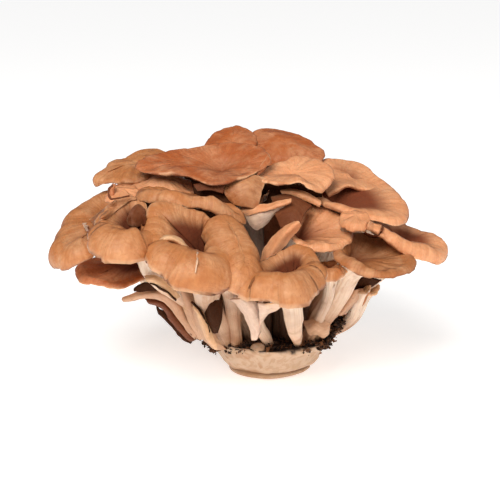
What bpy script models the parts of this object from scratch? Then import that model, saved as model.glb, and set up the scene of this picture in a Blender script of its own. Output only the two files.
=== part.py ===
"""A cultivated maitake cluster: ruffled fronds on white stems, growing out of one pale base.

Run it from Blender's text editor, or with blender --background --python part.py.
Design sizes are millimetres, +Z up, with the origin at the centre of the base's flat cut face.
+X is the cluster's long way and -Y is its front.
"""

import math

import bmesh
import bpy
import numpy as np

MM = 0.001

# Finishes: linear colour and roughness.
FINISHES = {
    "amber": ((0.60, 0.21, 0.08), 0.55),
    "brown": ((0.43, 0.14, 0.05), 0.6),
    "tan": ((0.62, 0.30, 0.15), 0.6),
    "cream": ((0.62, 0.42, 0.26), 0.7),
    "mycelium": ((0.75, 0.52, 0.33), 0.75),
    "crumbs": ((0.05, 0.026, 0.016), 0.9),
}

# Base: a pale cup of mycelium, cut flat underneath and leaning a little to the right: (radius, z, x).
PLATEAU_Z = 16.0
BASE_PROFILE = [(12, 16, 3), (24, 16, 3), (31, 16, 3), (32.5, 15.4, 2.5), (31.6, 14.2, 2), (27.5, 11, 0),
                (23, 5.8, 0), (20.4, 3.6, 0), (20.9, 2.6, 0), (20.9, 1.2, 0), (19, 0, 0), (10, 0, 0)]
BASE_SIDES = 32
GAP = 0.3

# Fronds: wall thickness at the margin and beside the stem, and the stem's usual radii.
MARGIN_THICKNESS = 1.6
NECK_THICKNESS = 4.2
ROOT_RADIUS = 3.6
NECK_RADIUS = 4.6
NECK_DROP = 8.0
CREST_LIFT = 10.0
STEEPNESS = 0.45
TOP_STATIONS = (0.12, 0.42, 0.75, 1.0)
UNDER_STATIONS = (1.0, 0.65, 0.32)
CURL_STATIONS = (0.5, 1.0)
STEM_STATIONS = (0.0, 0.35, 0.7)

# Each frond's crest is a closed line round its throat, anticlockwise from above:
# (x, y, z, radius of the rolled margin, degrees that the margin turns down).
FRONDS = {
    # Left side
    "frond_left_drooping": dict(
        throat=(-75, -4, 76), root=(-16, 3), lean=0.8, steep=0.35, lift=0,
        crest=[(-70, -14, 83, 3, 60), (-72, 4, 88, 3, 70), (-81, 12, 89, 4, 90), (-92, 6, 84, 8, 100),
               (-99, -10, 79, 9, 110), (-98, -27, 74, 9, 115), (-92, -34, 74, 7, 100),
               (-86, -28, 76, 4, 80), (-77, -22, 80, 3, 70)]),
    "frond_left_funnel": dict(
        throat=(-59, -38, 73), root=(-26, -6), lean=0.8, stem=(3.6, 6), steep=0.7, lift=30, drop=6,
        crest=[(-58, -44, 88, 2.5, 85), (-61, -34, 93, 2.5, 60), (-68, -30, 95, 2, 50),
               (-74, -34, 93, 2, 50), (-76, -38, 91, 2.5, 60), (-76, -44, 89, 4.5, 90),
               (-73, -53, 88, 8, 116), (-69, -59, 88, 10, 121), (-64, -60, 88, 10.2, 121),
               (-59, -55, 86, 8, 114)]),
    "frond_front_left_funnel": dict(
        throat=(-32, -41, 62), root=(-20, -16), lean=0.3, stem=(4, 7), steep=0.7, lift=32,
        crest=[(-28, -60, 79, 4, 95), (-28, -48, 81, 3, 80), (-29, -40, 86, 2.5, 70),
               (-33, -40, 90, 2.5, 60), (-40, -41, 92, 3, 65), (-46, -43, 94, 4, 75),
               (-51, -45, 93, 4.5, 85), (-51, -49, 89, 5, 95), (-49, -58, 84, 7, 110),
               (-44, -65, 83, 9.8, 118), (-38, -69, 82, 11.3, 122), (-32, -71, 81, 11.8, 122),
               (-30, -67, 79, 7, 110)]),
    "frond_low_left": dict(
        finish="brown", throat=(-64, -10, 56), root=(-24, 3), lean=0.85, stem=(2.6, 3.6), steep=0.5,
        lift=15, drop=5,
        crest=[(-59, -20, 58, 2, 60), (-60, -8, 60, 2, 50), (-75, -4, 60, 2, 50), (-86, -8, 60, 3, 60),
               (-91, -18, 59, 4, 80), (-87, -28, 57, 4, 100), (-79, -33, 55, 2.5, 100),
               (-72, -34, 55, 2, 100), (-64, -30, 56, 2, 80)]),
    "frond_knot": dict(
        finish="tan", throat=(-71, -13, 96), root=(-57, -15, 82), sides=10, stem=(2, 3), steep=0.2,
        lift=-5, drop=7,
        crest=[(-64, -14, 94, 2, 90), (-67, -7, 96, 2, 70), (-73, -6, 97, 2, 80),
               (-77, -11, 96, 2, 110), (-76, -19, 94, 2.5, 110), (-69, -21, 93, 2.5, 110),
               (-65, -18, 93, 2, 100)]),
    "frond_upper_left": dict(
        finish="tan", throat=(-53, 0, 99), root=(-9, -5), sides=14, steep=0.28, lift=-8,
        crest=[(-37, 2, 94, 2, 90), (-42, 10, 97, 2, 70), (-52, 14, 98, 2.5, 70), (-62, 10, 97, 3, 80),
               (-66, 2, 95, 3, 100), (-62, -4, 94, 3, 100), (-54, -7, 94, 2.5, 90), (-43, -6, 93, 2, 90)]),
    "frond_top_left": dict(
        throat=(-67, 20, 102), root=(-16, 10.5), sides=14, steep=0.28, lift=-6,
        crest=[(-52, 26, 104, 2.5, 60), (-54, 36, 105, 3, 70), (-63, 36, 106, 3, 70),
               (-74, 26, 104, 3, 80), (-82, 16, 102, 3, 90), (-86, 10, 98, 4, 130),
               (-82, 6, 97, 2.5, 90), (-74, 4, 98, 2, 70), (-66, 4, 98, 2, 60), (-56, 10, 100, 2, 50)]),
    # Middle
    "frond_long_lip": dict(
        throat=(-40, -18, 89), root=(-8, -13), stem=(3.6, 6), steep=0.3, lift=10,
        crest=[(-16, -24, 87, 5.5, 100), (-19, -15, 89, 3, 70), (-32, -8, 91, 2.5, 50),
               (-47, -6, 94, 2.5, 50), (-58, -10, 96, 3, 70), (-59, -20, 97, 4.5, 105),
               (-54, -28, 99, 5.5, 116), (-44, -31, 99, 5.5, 116), (-35, -31, 97, 5, 114),
               (-28, -30, 95, 5, 112), (-21, -28, 91, 5.5, 112)]),
    "frond_centre_lobe": dict(
        throat=(-15, -58.5, 84.2), root=(-13, -22), lean=0.3, stem=(3.6, 6), steep=0, lift=0, drop=14,
        crest=[(-9, -69.4, 73.8, 8.5, 105), (-10.4, -65.4, 77.3, 8.5, 105),
               (-12.2, -60.4, 80.7, 8.5, 105), (-14.1, -55.4, 84.1, 8.5, 105),
               (-16.4, -49.4, 87.3, 8.5, 105), (-18.3, -46.4, 89.4, 7.5, 105),
               (-20.9, -47.6, 89.4, 7.5, 108), (-19, -50.6, 87.3, 8.5, 108),
               (-16.7, -56.6, 84.1, 8.5, 108), (-14.8, -61.6, 80.7, 8.5, 108),
               (-13, -66.6, 77.3, 8.5, 108), (-11.6, -70.6, 73.8, 8.5, 108)]),
    "frond_front_funnel": dict(
        throat=(10, -50, 48), root=(13.5, -22), stem=(2.2, 5.6), steep=0.7, lift=30,
        crest=[(16, -52, 69, 5, 110), (17, -44, 72, 3, 80), (13, -40, 74, 2.5, 60),
               (6, -41, 72, 2.5, 60), (0, -45, 69, 3, 70), (-4, -52, 68, 5, 90), (-9, -60, 69, 9, 116),
               (-4, -68, 71, 10.6, 122), (3, -71, 70, 10.8, 122), (10, -65, 70, 10.2, 120),
               (14, -59, 70, 7.8, 114)]),
    "frond_inner_sheet": dict(
        finish="tan", throat=(-8, 4, 72), root=(-2, 0), sides=12, stem=(3, 4), steep=0.6, lift=50,
        crest=[(-2, 4, 91, 2, 50), (-4, 12, 91, 2, 50), (-10, 14, 90, 2, 50), (-15, 8, 88, 2, 50),
               (-14, 0, 86, 2, 50), (-8, -4, 85, 2, 50)]),
    "frond_spur": dict(
        finish="tan", throat=(-4, -9, 78), root=(-1, -7), sides=12, stem=(2.6, 3.4), steep=0.5, lift=30,
        crest=[(10, -16, 91, 1.5, 40), (1, -7, 88, 1.5, 40), (-8, -3, 85, 1.5, 40),
               (-15, -6, 84, 1.5, 50), (-8, -14, 84, 1.5, 50), (2, -18, 88, 1.5, 40)]),
    "frond_blade": dict(
        finish="tan", throat=(3, -29, 69), root=(-1, -16), sides=10, stem=(2, 2.2), steep=0.4, lift=30,
        drop=5,
        crest=[(14, -33, 85, 1.5, 50), (8, -28, 82, 1.5, 40), (1, -25, 75, 1.5, 40),
               (-2, -29, 71, 1.5, 40), (6, -35, 77, 1.5, 40)]),
    # Right side
    "frond_mid_right_funnel": dict(
        finish="tan", throat=(11, -14, 69), root=(8, -11), stem=(3.4, 6), steep=0.4, lift=16,
        crest=[(36, -22, 76, 3, 100), (36, -14, 79, 3, 85), (32, -8, 82, 3, 70), (25, -3, 84, 2, 50),
               (18, 1, 85, 2, 50), (10, 3, 85, 2, 50), (3, -3, 84, 2, 50), (3, -14, 81, 2, 60),
               (6, -24, 77, 2, 60), (15, -32, 75, 2.5, 95), (22, -34, 74, 2.6, 105),
               (29, -32, 74, 2.6, 108), (34, -28, 75, 2.6, 106)]),
    "frond_right_small": dict(
        finish="tan", throat=(41, -24, 82.5), root=(38, -22, 75), sides=10, stem=(2.2, 3), steep=0.15,
        lift=-4, drop=4,
        crest=[(46, -24, 81.5, 2, 90), (45, -20, 83, 2, 70), (41, -19, 83, 2, 70),
               (36, -20, 83, 2, 70), (36, -26, 81.5, 2.5, 100), (40, -30, 81.5, 2.8, 110),
               (44, -29, 81, 2.5, 105)]),
    "frond_right_cup": dict(
        finish="brown", throat=(40, -24, 59), root=(23, -14), stem=(5, 6), steep=0.55, lift=30,
        crest=[(66, -30, 67, 3, 105), (62, -14, 68, 2.5, 60), (54, -8, 70, 2, 50),
               (44, -10, 73, 2, 50), (37, -20, 73, 2, 70), (33, -33, 71, 3, 100),
               (37, -41, 70, 3.8, 114), (44, -46, 68, 4, 116), (53, -47, 66, 4, 116),
               (62, -40, 66, 3.8, 112)]),
    "frond_small_band": dict(
        throat=(29, -30, 56), root=(17, -10), sides=10, stem=(2.2, 3), drop=5,
        crest=[(34, -30, 63, 3, 90), (32, -24, 63, 2, 60), (25, -24, 62, 2, 60), (23, -34, 63, 4, 95),
               (28, -38, 63, 4, 112)]),
    "frond_far_right": dict(
        finish="tan", throat=(65, -6, 66), root=(20, 5), lean=0.75, steep=0.3, lift=5,
        crest=[(86, -6, 66, 3.8, 100), (85, 0, 68, 3.2, 90), (81, 5, 69, 3, 80), (75, 9, 70, 2.5, 60),
               (68, 11, 72, 2.5, 60), (60, 6, 73, 2, 50), (55.5, -5, 74, 2.5, 80),
               (58, -14, 75.5, 3, 110), (63, -18.5, 74.5, 3.6, 112), (69, -19.5, 71.5, 4.6, 116),
               (76, -17, 69, 5.4, 118), (82, -11, 67, 4.8, 112)]),
    "frond_right_fan": dict(
        finish="tan", throat=(32, 8, 79), root=(12, 4), stem=(3.6, 7), steep=0.3, lift=5,
        crest=[(65, -2, 85, 4, 90), (62, 12, 88, 3, 80), (56, 26, 92, 3, 70), (48, 38, 97, 3, 70),
               (37, 45, 100, 3, 60), (28, 40, 99, 2.5, 60), (21, 18, 93, 2, 50), (25, 0, 88, 2, 50),
               (33, -9, 87, 2.5, 60), (42, -14, 85, 3, 70), (51, -17, 84, 3.5, 80), (60, -15, 83, 4, 90)]),
    "frond_mid_right_wing": dict(
        finish="tan", throat=(11, 8, 99), root=(4, 1), sides=14, stem=(3, 4), steep=0.1, lift=0,
        crest=[(28, 10, 103, 2.5, 80), (23, 18, 105, 2.5, 70), (16, 22, 105, 2.5, 60),
               (7, 16, 104, 2, 60), (-1, 8, 102, 2, 60), (-8, 0, 100, 2, 50), (-2, -7, 99, 2, 50),
               (7, -10, 99, 2, 50), (14, -11, 100, 2, 55), (19, -10, 98, 3, 80), (23, -5, 97, 3.5, 95),
               (28, 2, 100, 3, 95)]),
    # Top
    "frond_top_wing": dict(
        finish="brown", throat=(-24, 10, 100), root=(-8, 2), stem=(3.4, 5), steep=0.2, lift=8,
        crest=[(-2, 2, 107, 2, 60), (-6, 14, 111, 2, 60), (-13, 22, 112, 2, 60),
               (-22, 26, 112, 2.5, 60), (-35, 24, 109, 2.5, 60), (-48, 20, 108, 2.5, 60),
               (-59, 10, 107, 2.5, 70), (-64, 0, 106, 2.5, 90), (-61, -5, 104, 2, 60),
               (-53, -8, 103, 2, 50), (-44, -9, 103, 2, 50), (-35, -12, 101, 2, 50),
               (-28, -14, 100, 2, 50), (-19, -12, 102, 2, 50), (-12, -8, 103, 2, 50),
               (-6, -4, 105, 2, 60)]),
    "frond_top_back_small": dict(
        finish="brown", throat=(-19, 46, 108), root=(-5, 8), sides=12, stem=(2.8, 3.6), steep=0.28,
        lift=-6,
        crest=[(-8, 45, 108, 2.5, 70), (-9, 55, 111, 2.5, 70), (-17, 60, 113, 3, 70),
               (-25, 58, 112, 3, 80), (-31, 48, 109, 3, 90), (-30, 40, 105, 2.5, 70),
               (-22, 33, 101, 2.5, 50), (-12, 36, 102, 2.5, 50)]),
    "frond_top_back_right": dict(
        finish="brown", throat=(9, 44, 108), root=(4, 10), sides=14, stem=(3, 4.4), steep=0.28, lift=-6,
        crest=[(27, 40, 103, 2, 80), (24, 48, 106, 3, 80), (13, 58, 110, 3, 70), (1, 62, 112, 3, 70),
               (-7, 58, 111, 3, 80), (-8, 46, 106, 3, 80), (-4, 34, 101, 2.5, 60),
               (8, 28, 98, 2.5, 50), (20, 32, 99, 2.5, 60)]),
    # Back and low outer fronds, out of sight from the front
    "frond_back_left": dict(
        finish="brown", throat=(-58, 46, 80), root=(-14, 18), sides=14, stem=(3.4, 5), lift=15,
        crest=[(-42, 48, 90, 3, 70), (-48, 60, 88, 5, 80), (-62, 64, 86, 7, 100),
               (-76, 54, 84, 8, 110), (-82, 38, 84, 7, 100), (-74, 30, 88, 4, 70), (-58, 34, 92, 3, 50)]),
    "frond_back_middle": dict(
        finish="brown", throat=(-18, 66, 82), root=(-4, 26), sides=14, stem=(3.4, 5), lift=15,
        crest=[(-4, 66, 90, 3, 80), (-8, 78, 87, 6, 100), (-20, 84, 86, 8, 110), (-34, 80, 86, 7, 110),
               (-42, 68, 89, 5, 90), (-34, 56, 93, 3, 50), (-18, 56, 94, 3, 50)]),
    "frond_back_right": dict(
        finish="brown", throat=(24, 62, 78), root=(9, 20), sides=14, stem=(3.4, 5), lift=15,
        crest=[(44, 60, 84, 6, 100), (40, 74, 83, 8, 110), (27, 80, 85, 8, 110), (14, 76, 88, 6, 90),
               (8, 66, 92, 3, 60), (16, 56, 93, 3, 50), (32, 54, 90, 3, 60)]),
    "frond_far_back_right": dict(
        finish="brown", throat=(50, 32, 64), root=(19, 12), lean=0.7, sides=14, stem=(3.4, 5), lift=15,
        crest=[(66, 26, 69, 6, 100), (64, 40, 70, 7, 110), (54, 50, 72, 6, 100), (44, 48, 76, 4, 70),
               (38, 38, 77, 3, 50), (44, 27, 74, 3, 50), (56, 21, 71, 3, 70)]),
    "frond_low_back_left": dict(
        finish="brown", throat=(-60, 30, 50), root=(-20.5, 16.5), sides=12, stem=(3, 4), lift=15,
        crest=[(-51, 28, 58, 3, 70), (-54, 38, 58, 3, 60), (-65, 42, 57, 5, 90), (-75, 32, 56, 6, 100),
               (-74, 19, 57, 6, 100), (-61, 16, 58, 4, 80)]),
    "frond_low_back": dict(
        finish="brown", throat=(-34, 52, 50), root=(-11, 25), sides=12, stem=(3, 4), lift=15,
        crest=[(-23, 50, 61, 3, 80), (-24, 61, 58, 5, 100), (-30, 68, 58, 7, 100),
               (-42, 60, 59, 6, 100), (-46, 48, 62, 3, 70), (-34, 42, 63, 3, 50)]),
    "frond_low_back_right": dict(
        finish="brown", throat=(36, 46, 44), root=(17, 20), sides=12, stem=(3, 4), lift=15,
        crest=[(48, 42, 50, 5, 90), (46, 55, 49, 6, 100), (36, 58, 50, 6, 100), (26, 52, 52, 4, 90),
               (26, 42, 55, 3, 60), (36, 34, 56, 3, 50)]),
    # Young leaves round the foot of the stems
    "leaf_left_tip": dict(
        finish="cream", throat=(-50, 6, 37), root=(-23, 10), sides=10, stem=(2.4, 3), steep=0.3, lift=10,
        drop=5,
        crest=[(-45, 7, 44, 1.5, 40), (-51, 14, 46, 1.5, 40), (-58, 10, 48, 1.5, 50),
               (-58, 1, 47, 1.5, 50), (-50, -1, 44, 1.5, 40)]),
    "leaf_left_long": dict(
        finish="cream", throat=(-47, -20, 34), root=(-26, -3), sides=12, stem=(2.8, 3.6), steep=0.3,
        lift=5, drop=5,
        crest=[(-43, -21, 39, 1.5, 40), (-50, -15, 42, 1.5, 40), (-62, -18, 42, 1.5, 50),
               (-72, -25, 43, 1.5, 60), (-62, -31, 41, 1.5, 50), (-50, -30, 40, 1.5, 40)]),
    "leaf_left_inner": dict(
        finish="cream", throat=(-38, -26, 27), root=(-26, -9), sides=10, stem=(2.2, 2.8), steep=0.4,
        lift=20, drop=5,
        crest=[(-34, -28, 33, 1.5, 40), (-36, -23, 34, 1.5, 40), (-41, -23, 35, 1.5, 50),
               (-44, -29, 34, 1.5, 50), (-39, -33, 33, 1.5, 40)]),
    "leaf_front_flap": dict(
        finish="cream", throat=(-8, -40, 46), root=(0, -25), sides=10, stem=(2.2, 3.4), steep=0.4,
        lift=20, drop=5,
        crest=[(-2, -40, 51, 1.5, 40), (-5, -35, 52, 1.5, 40), (-11, -36, 52, 1.5, 50),
               (-14, -42, 51, 1.5, 50), (-7, -46, 50, 1.5, 40)]),
    "leaf_right_outer": dict(
        finish="cream", throat=(48, 0, 35), root=(29, 0), sides=10, stem=(2.4, 3), steep=0.4, lift=10,
        drop=5,
        crest=[(58, -2, 45, 1.5, 50), (54, 6, 46, 1.5, 40), (47, 5, 44, 1.5, 40),
               (46, -3, 42, 1.5, 40), (52, -8, 43, 1.5, 50)]),
    "leaf_right_inner": dict(
        finish="cream", throat=(43, -12, 38), root=(27, -7), sides=10, stem=(2, 2.6), steep=0.4, lift=20,
        drop=5,
        crest=[(49, -14, 47, 1.5, 50), (46, -8, 48, 1.5, 40), (41, -9, 47, 1.5, 40),
               (41, -15, 46, 1.5, 40), (45, -19, 46, 1.5, 50)]),
    "leaf_back_right": dict(
        finish="cream", throat=(44, 22, 34), root=(26, 12), sides=10, stem=(2.4, 3), steep=0.4, lift=10,
        drop=5,
        crest=[(55, 20, 44, 1.5, 50), (51, 30, 44, 1.5, 50), (42, 30, 42, 1.5, 40),
               (40, 22, 41, 1.5, 40), (48, 15, 43, 1.5, 40)]),
}


# Growing medium caught between the stems, and a knob of mycelium: centre, half sizes, finish.
LUMPS = {
    "substrate_front": ((5.5, -28, 18.5), (3.2, 3.2, 3), "crumbs"),
    "substrate_front_right": ((19, -25.5, 18.5), (3.6, 2.6, 3), "crumbs"),
    "substrate_right": ((32.5, -13, 20), (5, 4.5, 5), "crumbs"),
    "substrate_back": ((6, 28, 18.5), (6, 2.6, 3), "crumbs"),
    "mycelium_knob": ((-6, -27.5, 18.5), (3, 2.8, 3.4), "mycelium"),
}

# Where two pieces press together, the named one is trimmed back to leave a gap.
TRIMS = {
    "frond_left_funnel": ["frond_front_left_funnel"],
    "frond_low_left": ["frond_left_drooping"],
    "frond_long_lip": ["frond_left_funnel", "frond_front_left_funnel"],
    "frond_upper_left": ["frond_long_lip"],
    "frond_top_left": ["frond_upper_left"],
    "frond_centre_lobe": ["frond_front_left_funnel"],
    "frond_front_funnel": ["frond_centre_lobe", "frond_front_left_funnel"],
    "frond_inner_sheet": ["frond_spur"],
    "frond_spur": ["frond_mid_right_funnel"],
    "frond_blade": ["frond_centre_lobe", "frond_mid_right_funnel"],
    "frond_right_cup": ["frond_mid_right_funnel"],
    "frond_far_right": ["frond_right_cup"],
    "frond_right_fan": ["frond_mid_right_funnel"],
    "frond_right_small": ["frond_right_fan", "frond_mid_right_funnel"],
    "frond_small_band": ["frond_right_cup"],
    "frond_top_back_small": ["frond_top_back_right"],
    "frond_top_back_right": ["frond_right_fan"],
    "frond_low_back_right": ["frond_far_back_right", "frond_back_right"],
    "frond_far_back_right": ["frond_back_right"],
    "leaf_left_tip": ["frond_left_drooping"],
    "leaf_left_long": ["frond_low_left", "frond_left_funnel"],
    "leaf_left_inner": ["frond_left_funnel"],
    "leaf_front_flap": ["frond_centre_lobe"],
    "leaf_right_inner": ["frond_right_cup"],
    "leaf_right_outer": ["frond_far_right"],
    "leaf_back_right": ["frond_far_back_right"],
    "substrate_right": ["leaf_right_inner", "frond_right_cup"],
    "substrate_front": ["frond_front_funnel"],
    "substrate_front_right": ["frond_front_funnel"],
}


def unit(vectors):
    length = np.linalg.norm(vectors, axis=-1, keepdims=True)
    return vectors / np.maximum(length, 1e-9)


def closed_curve(points, count):
    """count points, evenly spaced along the smooth closed curve that runs through the given ones."""
    points = np.asarray(points, float)
    steps = np.linspace(0, 1, 16, endpoint=False)[:, None]
    dense = []
    for i in range(len(points)):
        before, here, after, beyond = (points[(i + k) % len(points)] for k in (-1, 0, 1, 2))
        slope_here, slope_after = (after - before) / 2, (beyond - here) / 2
        dense.append(here * (2 * steps**3 - 3 * steps**2 + 1)
                     + slope_here * (steps**3 - 2 * steps**2 + steps)
                     + after * (3 * steps**2 - 2 * steps**3)
                     + slope_after * (steps**3 - steps**2))
    dense = np.concatenate(dense)
    closed = np.vstack([dense, dense[:1]])
    run = np.concatenate([[0], np.cumsum(np.linalg.norm(np.diff(closed[:, :3], axis=0), axis=1))])
    wanted = np.linspace(0, run[-1], count, endpoint=False)
    return np.stack([np.interp(wanted, run, closed[:, k]) for k in range(closed.shape[1])], axis=1)


def bezier(a, b, c, d, t):
    """The point and the direction at t on a cubic curve."""
    point = a * (1 - t)**3 + 3 * b * t * (1 - t)**2 + 3 * c * t * t * (1 - t) + d * t**3
    slope = (b - a) * (1 - t)**2 + 2 * (c - b) * t * (1 - t) + (d - c) * t * t
    return point, unit(slope)


def frond_rings(throat, crest, root, stem=(ROOT_RADIUS, NECK_RADIUS), sides=16, lift=CREST_LIFT,
                steep=STEEPNESS, drop=NECK_DROP, lean=0.55):
    """Rings of points over the frond's skin: throat, top, rolled margin, underside, stem and root."""
    throat = np.array(throat, float)
    root = np.array(root if len(root) == 3 else (*root, PLATEAU_Z + GAP), float)
    loop = closed_curve(crest, sides)
    crest_at, curl, turn = loop[:, :3], loop[:, 3:4], np.radians(loop[:, 4:5])
    along = unit(np.roll(crest_at, -1, 0) - np.roll(crest_at, 1, 0))
    middle = crest_at.mean(0)
    up = unit(np.cross(crest_at - middle, np.roll(crest_at, -1, 0) - middle).sum(0))
    radial = crest_at - middle
    outward = unit(0.7 * unit(np.cross(along, up)) + 0.3 * unit(radial - (radial @ up)[:, None] * up))
    axis = unit(0.5 * up + 0.5 * unit(throat - root))
    tilt = math.radians(lift)
    crest_way = outward * math.cos(tilt) + up * math.sin(tilt)
    crest_up = up * math.cos(tilt) - outward * math.sin(tilt)
    span = np.linalg.norm(crest_at - throat, axis=1, keepdims=True)
    near = throat + 0.4 * span * unit((1 - steep) * (crest_at - throat) / span + steep * axis)
    far = crest_at - 0.35 * span * crest_way

    rings = [bezier(throat, near, far, crest_at, t)[0] for t in TOP_STATIONS]
    centre = crest_at - crest_up * curl
    margin = np.minimum(MARGIN_THICKNESS, 0.6 * curl)

    def rolled(share, thickness):
        angle = turn * share
        return centre + (crest_up * np.cos(angle) + crest_way * np.sin(angle)) * (curl - thickness)

    rings += [rolled(share, 0) for share in CURL_STATIONS]
    rings += [rolled(share, margin) for share in reversed(CURL_STATIONS)]
    for t in UNDER_STATIONS:
        point, slope = bezier(throat, near, far, crest_at, t)
        normal = unit(np.cross(slope, along))
        thickness = margin + (NECK_THICKNESS - margin) * (1 - t)
        rings.append(point - normal * np.minimum(thickness, margin + 0.25 * span * (1 - t)))

    neck = throat - axis * drop
    sideways = unit(np.cross(axis, [0, 1, 0] if abs(axis[1]) < 0.9 else [1, 0, 0]))
    ahead = np.cross(axis, sideways)
    actual = np.unwrap(np.arctan2((crest_at - throat) @ ahead, (crest_at - throat) @ sideways))
    even = np.arange(sides) * math.copysign(2 * math.pi / sides, actual[-1] - actual[0])
    angle = 0.3 * (actual - actual.mean()) + 0.7 * (even - even.mean()) + actual.mean()
    spoke = np.cos(angle)[:, None] * sideways + np.sin(angle)[:, None] * ahead
    length = np.linalg.norm(neck - root)
    rise = unit(lean * np.array([0, 0, 1.0]) + (1 - lean) * unit(neck - root))
    for t in STEM_STATIONS:
        centre_line, down = bezier(neck, neck - axis * 0.35 * length, root + rise * 0.35 * length, root, t)
        radius = stem[1] + (stem[0] - stem[1]) * t
        rings.append(centre_line + unit(spoke - (spoke @ down)[:, None] * down) * radius)
    flat = unit(spoke * [1, 1, 0])
    rings.append(root + flat * stem[0])
    return throat, rings, root


def add_object(name, mesh, collection, finish):
    """Link a named object whose own material has the finish's colour and roughness."""
    colour, roughness = FINISHES[finish]
    skin = bpy.data.materials.new(f"{name}_{finish}")
    skin.use_nodes = True
    shader = skin.node_tree.nodes["Principled BSDF"]
    shader.inputs["Base Color"].default_value = (*colour, 1)
    shader.inputs["Roughness"].default_value = roughness
    shader.inputs["Metallic"].default_value = 0
    made = bpy.data.objects.new(name, mesh)
    made.data.materials.append(skin)
    collection.objects.link(made)
    return made


def add_skin(name, top, rings, bottom, collection, finish):
    """A closed skin: a ball whose poles become top and bottom and whose parallels become the rings."""
    sides, bands = len(rings[0]), len(rings) + 1
    ball = bmesh.new()
    bmesh.ops.create_uvsphere(ball, u_segments=sides, v_segments=bands, radius=1)
    for vertex in ball.verts:
        band = round(math.acos(max(-1, min(1, vertex.co.z))) / math.pi * bands)
        side = round(math.atan2(vertex.co.y, vertex.co.x) / (2 * math.pi) * sides) % sides
        place = top if band == 0 else bottom if band == bands else rings[band - 1][side]
        vertex.co = [c * MM for c in place]
    mesh = bpy.data.meshes.new(name)
    ball.to_mesh(mesh)
    ball.free()
    mesh.shade_smooth()
    return add_object(name, mesh, collection, finish)


def add_lump(name, centre, half, collection, finish):
    """A crumbly lump that lies on the base: a bumpy ball with a flat underneath."""
    lump = bmesh.new()
    bmesh.ops.create_icosphere(lump, subdivisions=2, radius=1)
    for vertex in lump.verts:
        x, y, z = vertex.co
        bump = 1 + 0.12 * math.sin(5 * x + centre[0]) * math.cos(4 * y + centre[1])
        place = [c + bump * h * v for c, h, v in zip(centre, half, (x, y, z))]
        place[2] = max(place[2], PLATEAU_Z + GAP)
        vertex.co = [c * MM for c in place]
    bmesh.ops.dissolve_limit(lump, angle_limit=math.radians(1), verts=lump.verts, edges=lump.edges)
    bmesh.ops.triangulate(lump, faces=lump.faces)
    mesh = bpy.data.meshes.new(name)
    lump.to_mesh(mesh)
    lump.free()
    mesh.shade_smooth()
    return add_object(name, mesh, collection, finish)


def trim(trimmed, neighbour, cutters):
    """Cut a piece back by a swollen copy of its neighbour, so that a gap is left between them."""
    mesh = neighbour.data.copy()
    normals = [vertex.normal.copy() for vertex in mesh.vertices]
    for vertex, normal in zip(mesh.vertices, normals):
        vertex.co += normal * GAP * MM
    name = f"cut_{trimmed.name}_by_{neighbour.name}"[:59]
    cutter = bpy.data.objects.new(name, mesh)
    cutter.hide_render = True
    cutter.display_type = "WIRE"
    cutters.objects.link(cutter)
    cut = trimmed.modifiers.new(neighbour.name, "BOOLEAN")
    cut.operation = "DIFFERENCE"
    cut.solver = "EXACT"
    cut.object = cutter


def base_rings():
    turns = [2 * math.pi * i / BASE_SIDES for i in range(BASE_SIDES)]
    return [[(x + r * math.cos(a), r * math.sin(a), z) for a in turns] for r, z, x in BASE_PROFILE]


def main():
    for old in list(bpy.data.objects):
        bpy.data.objects.remove(old)
    cluster = bpy.data.collections.new("maitake_cluster")
    cutters = bpy.data.collections.new("cutters")
    bpy.context.scene.collection.children.link(cluster)
    bpy.context.scene.collection.children.link(cutters)

    foot, top = (0, 0, 0), (BASE_PROFILE[0][2], 0, PLATEAU_Z)
    add_skin("mycelium_base", top, base_rings(), foot, cluster, "mycelium")
    for name, shape in FRONDS.items():
        shape = dict(shape)
        finish = shape.pop("finish", "amber")
        throat, rings, root = frond_rings(**shape)
        add_skin(name, throat, rings, root, cluster, finish)
    for name, (centre, half, finish) in LUMPS.items():
        add_lump(name, centre, half, cluster, finish)
    for name, neighbours in TRIMS.items():
        for neighbour in neighbours:
            trim(bpy.data.objects[name], bpy.data.objects[neighbour], cutters)


main()
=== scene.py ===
"""The looks of a cultivated maitake cluster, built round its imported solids.

Ruffled fronds with rolled margins stand on white, downy stems that grow out of one pale base.
Design sizes are millimetres in the solids' own frame, +Z up, with the cluster's front at -Y.
"""

import itertools
import math

import bmesh
import bpy
import numpy as np
from mathutils import Euler, Matrix, Vector


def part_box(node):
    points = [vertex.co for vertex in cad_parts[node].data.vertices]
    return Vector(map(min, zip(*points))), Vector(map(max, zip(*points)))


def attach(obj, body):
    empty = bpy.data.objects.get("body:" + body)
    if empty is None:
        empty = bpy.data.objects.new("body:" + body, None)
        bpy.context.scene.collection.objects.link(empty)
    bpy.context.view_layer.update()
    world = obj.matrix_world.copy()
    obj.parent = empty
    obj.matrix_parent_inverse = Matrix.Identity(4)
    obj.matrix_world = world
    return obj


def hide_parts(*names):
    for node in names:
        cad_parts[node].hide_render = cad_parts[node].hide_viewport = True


bl_info = {
    "name": "Maitake cluster",
    "version": (1, 0, 0),
    "blender": (4, 5, 0),
    "location": "View3D > Sidebar > Maitake",
    "description": "Builds the fronds, base, crumbs and stage of a maitake cluster",
    "category": "Add Mesh",
}

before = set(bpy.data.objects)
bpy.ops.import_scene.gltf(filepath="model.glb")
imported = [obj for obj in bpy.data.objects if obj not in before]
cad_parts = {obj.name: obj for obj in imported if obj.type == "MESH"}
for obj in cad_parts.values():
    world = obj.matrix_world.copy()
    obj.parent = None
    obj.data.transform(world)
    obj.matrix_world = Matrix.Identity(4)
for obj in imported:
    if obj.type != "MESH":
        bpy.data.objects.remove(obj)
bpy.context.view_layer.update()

MM = 0.001
PLATEAU_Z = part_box("mycelium_base")[1].z / MM

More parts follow.
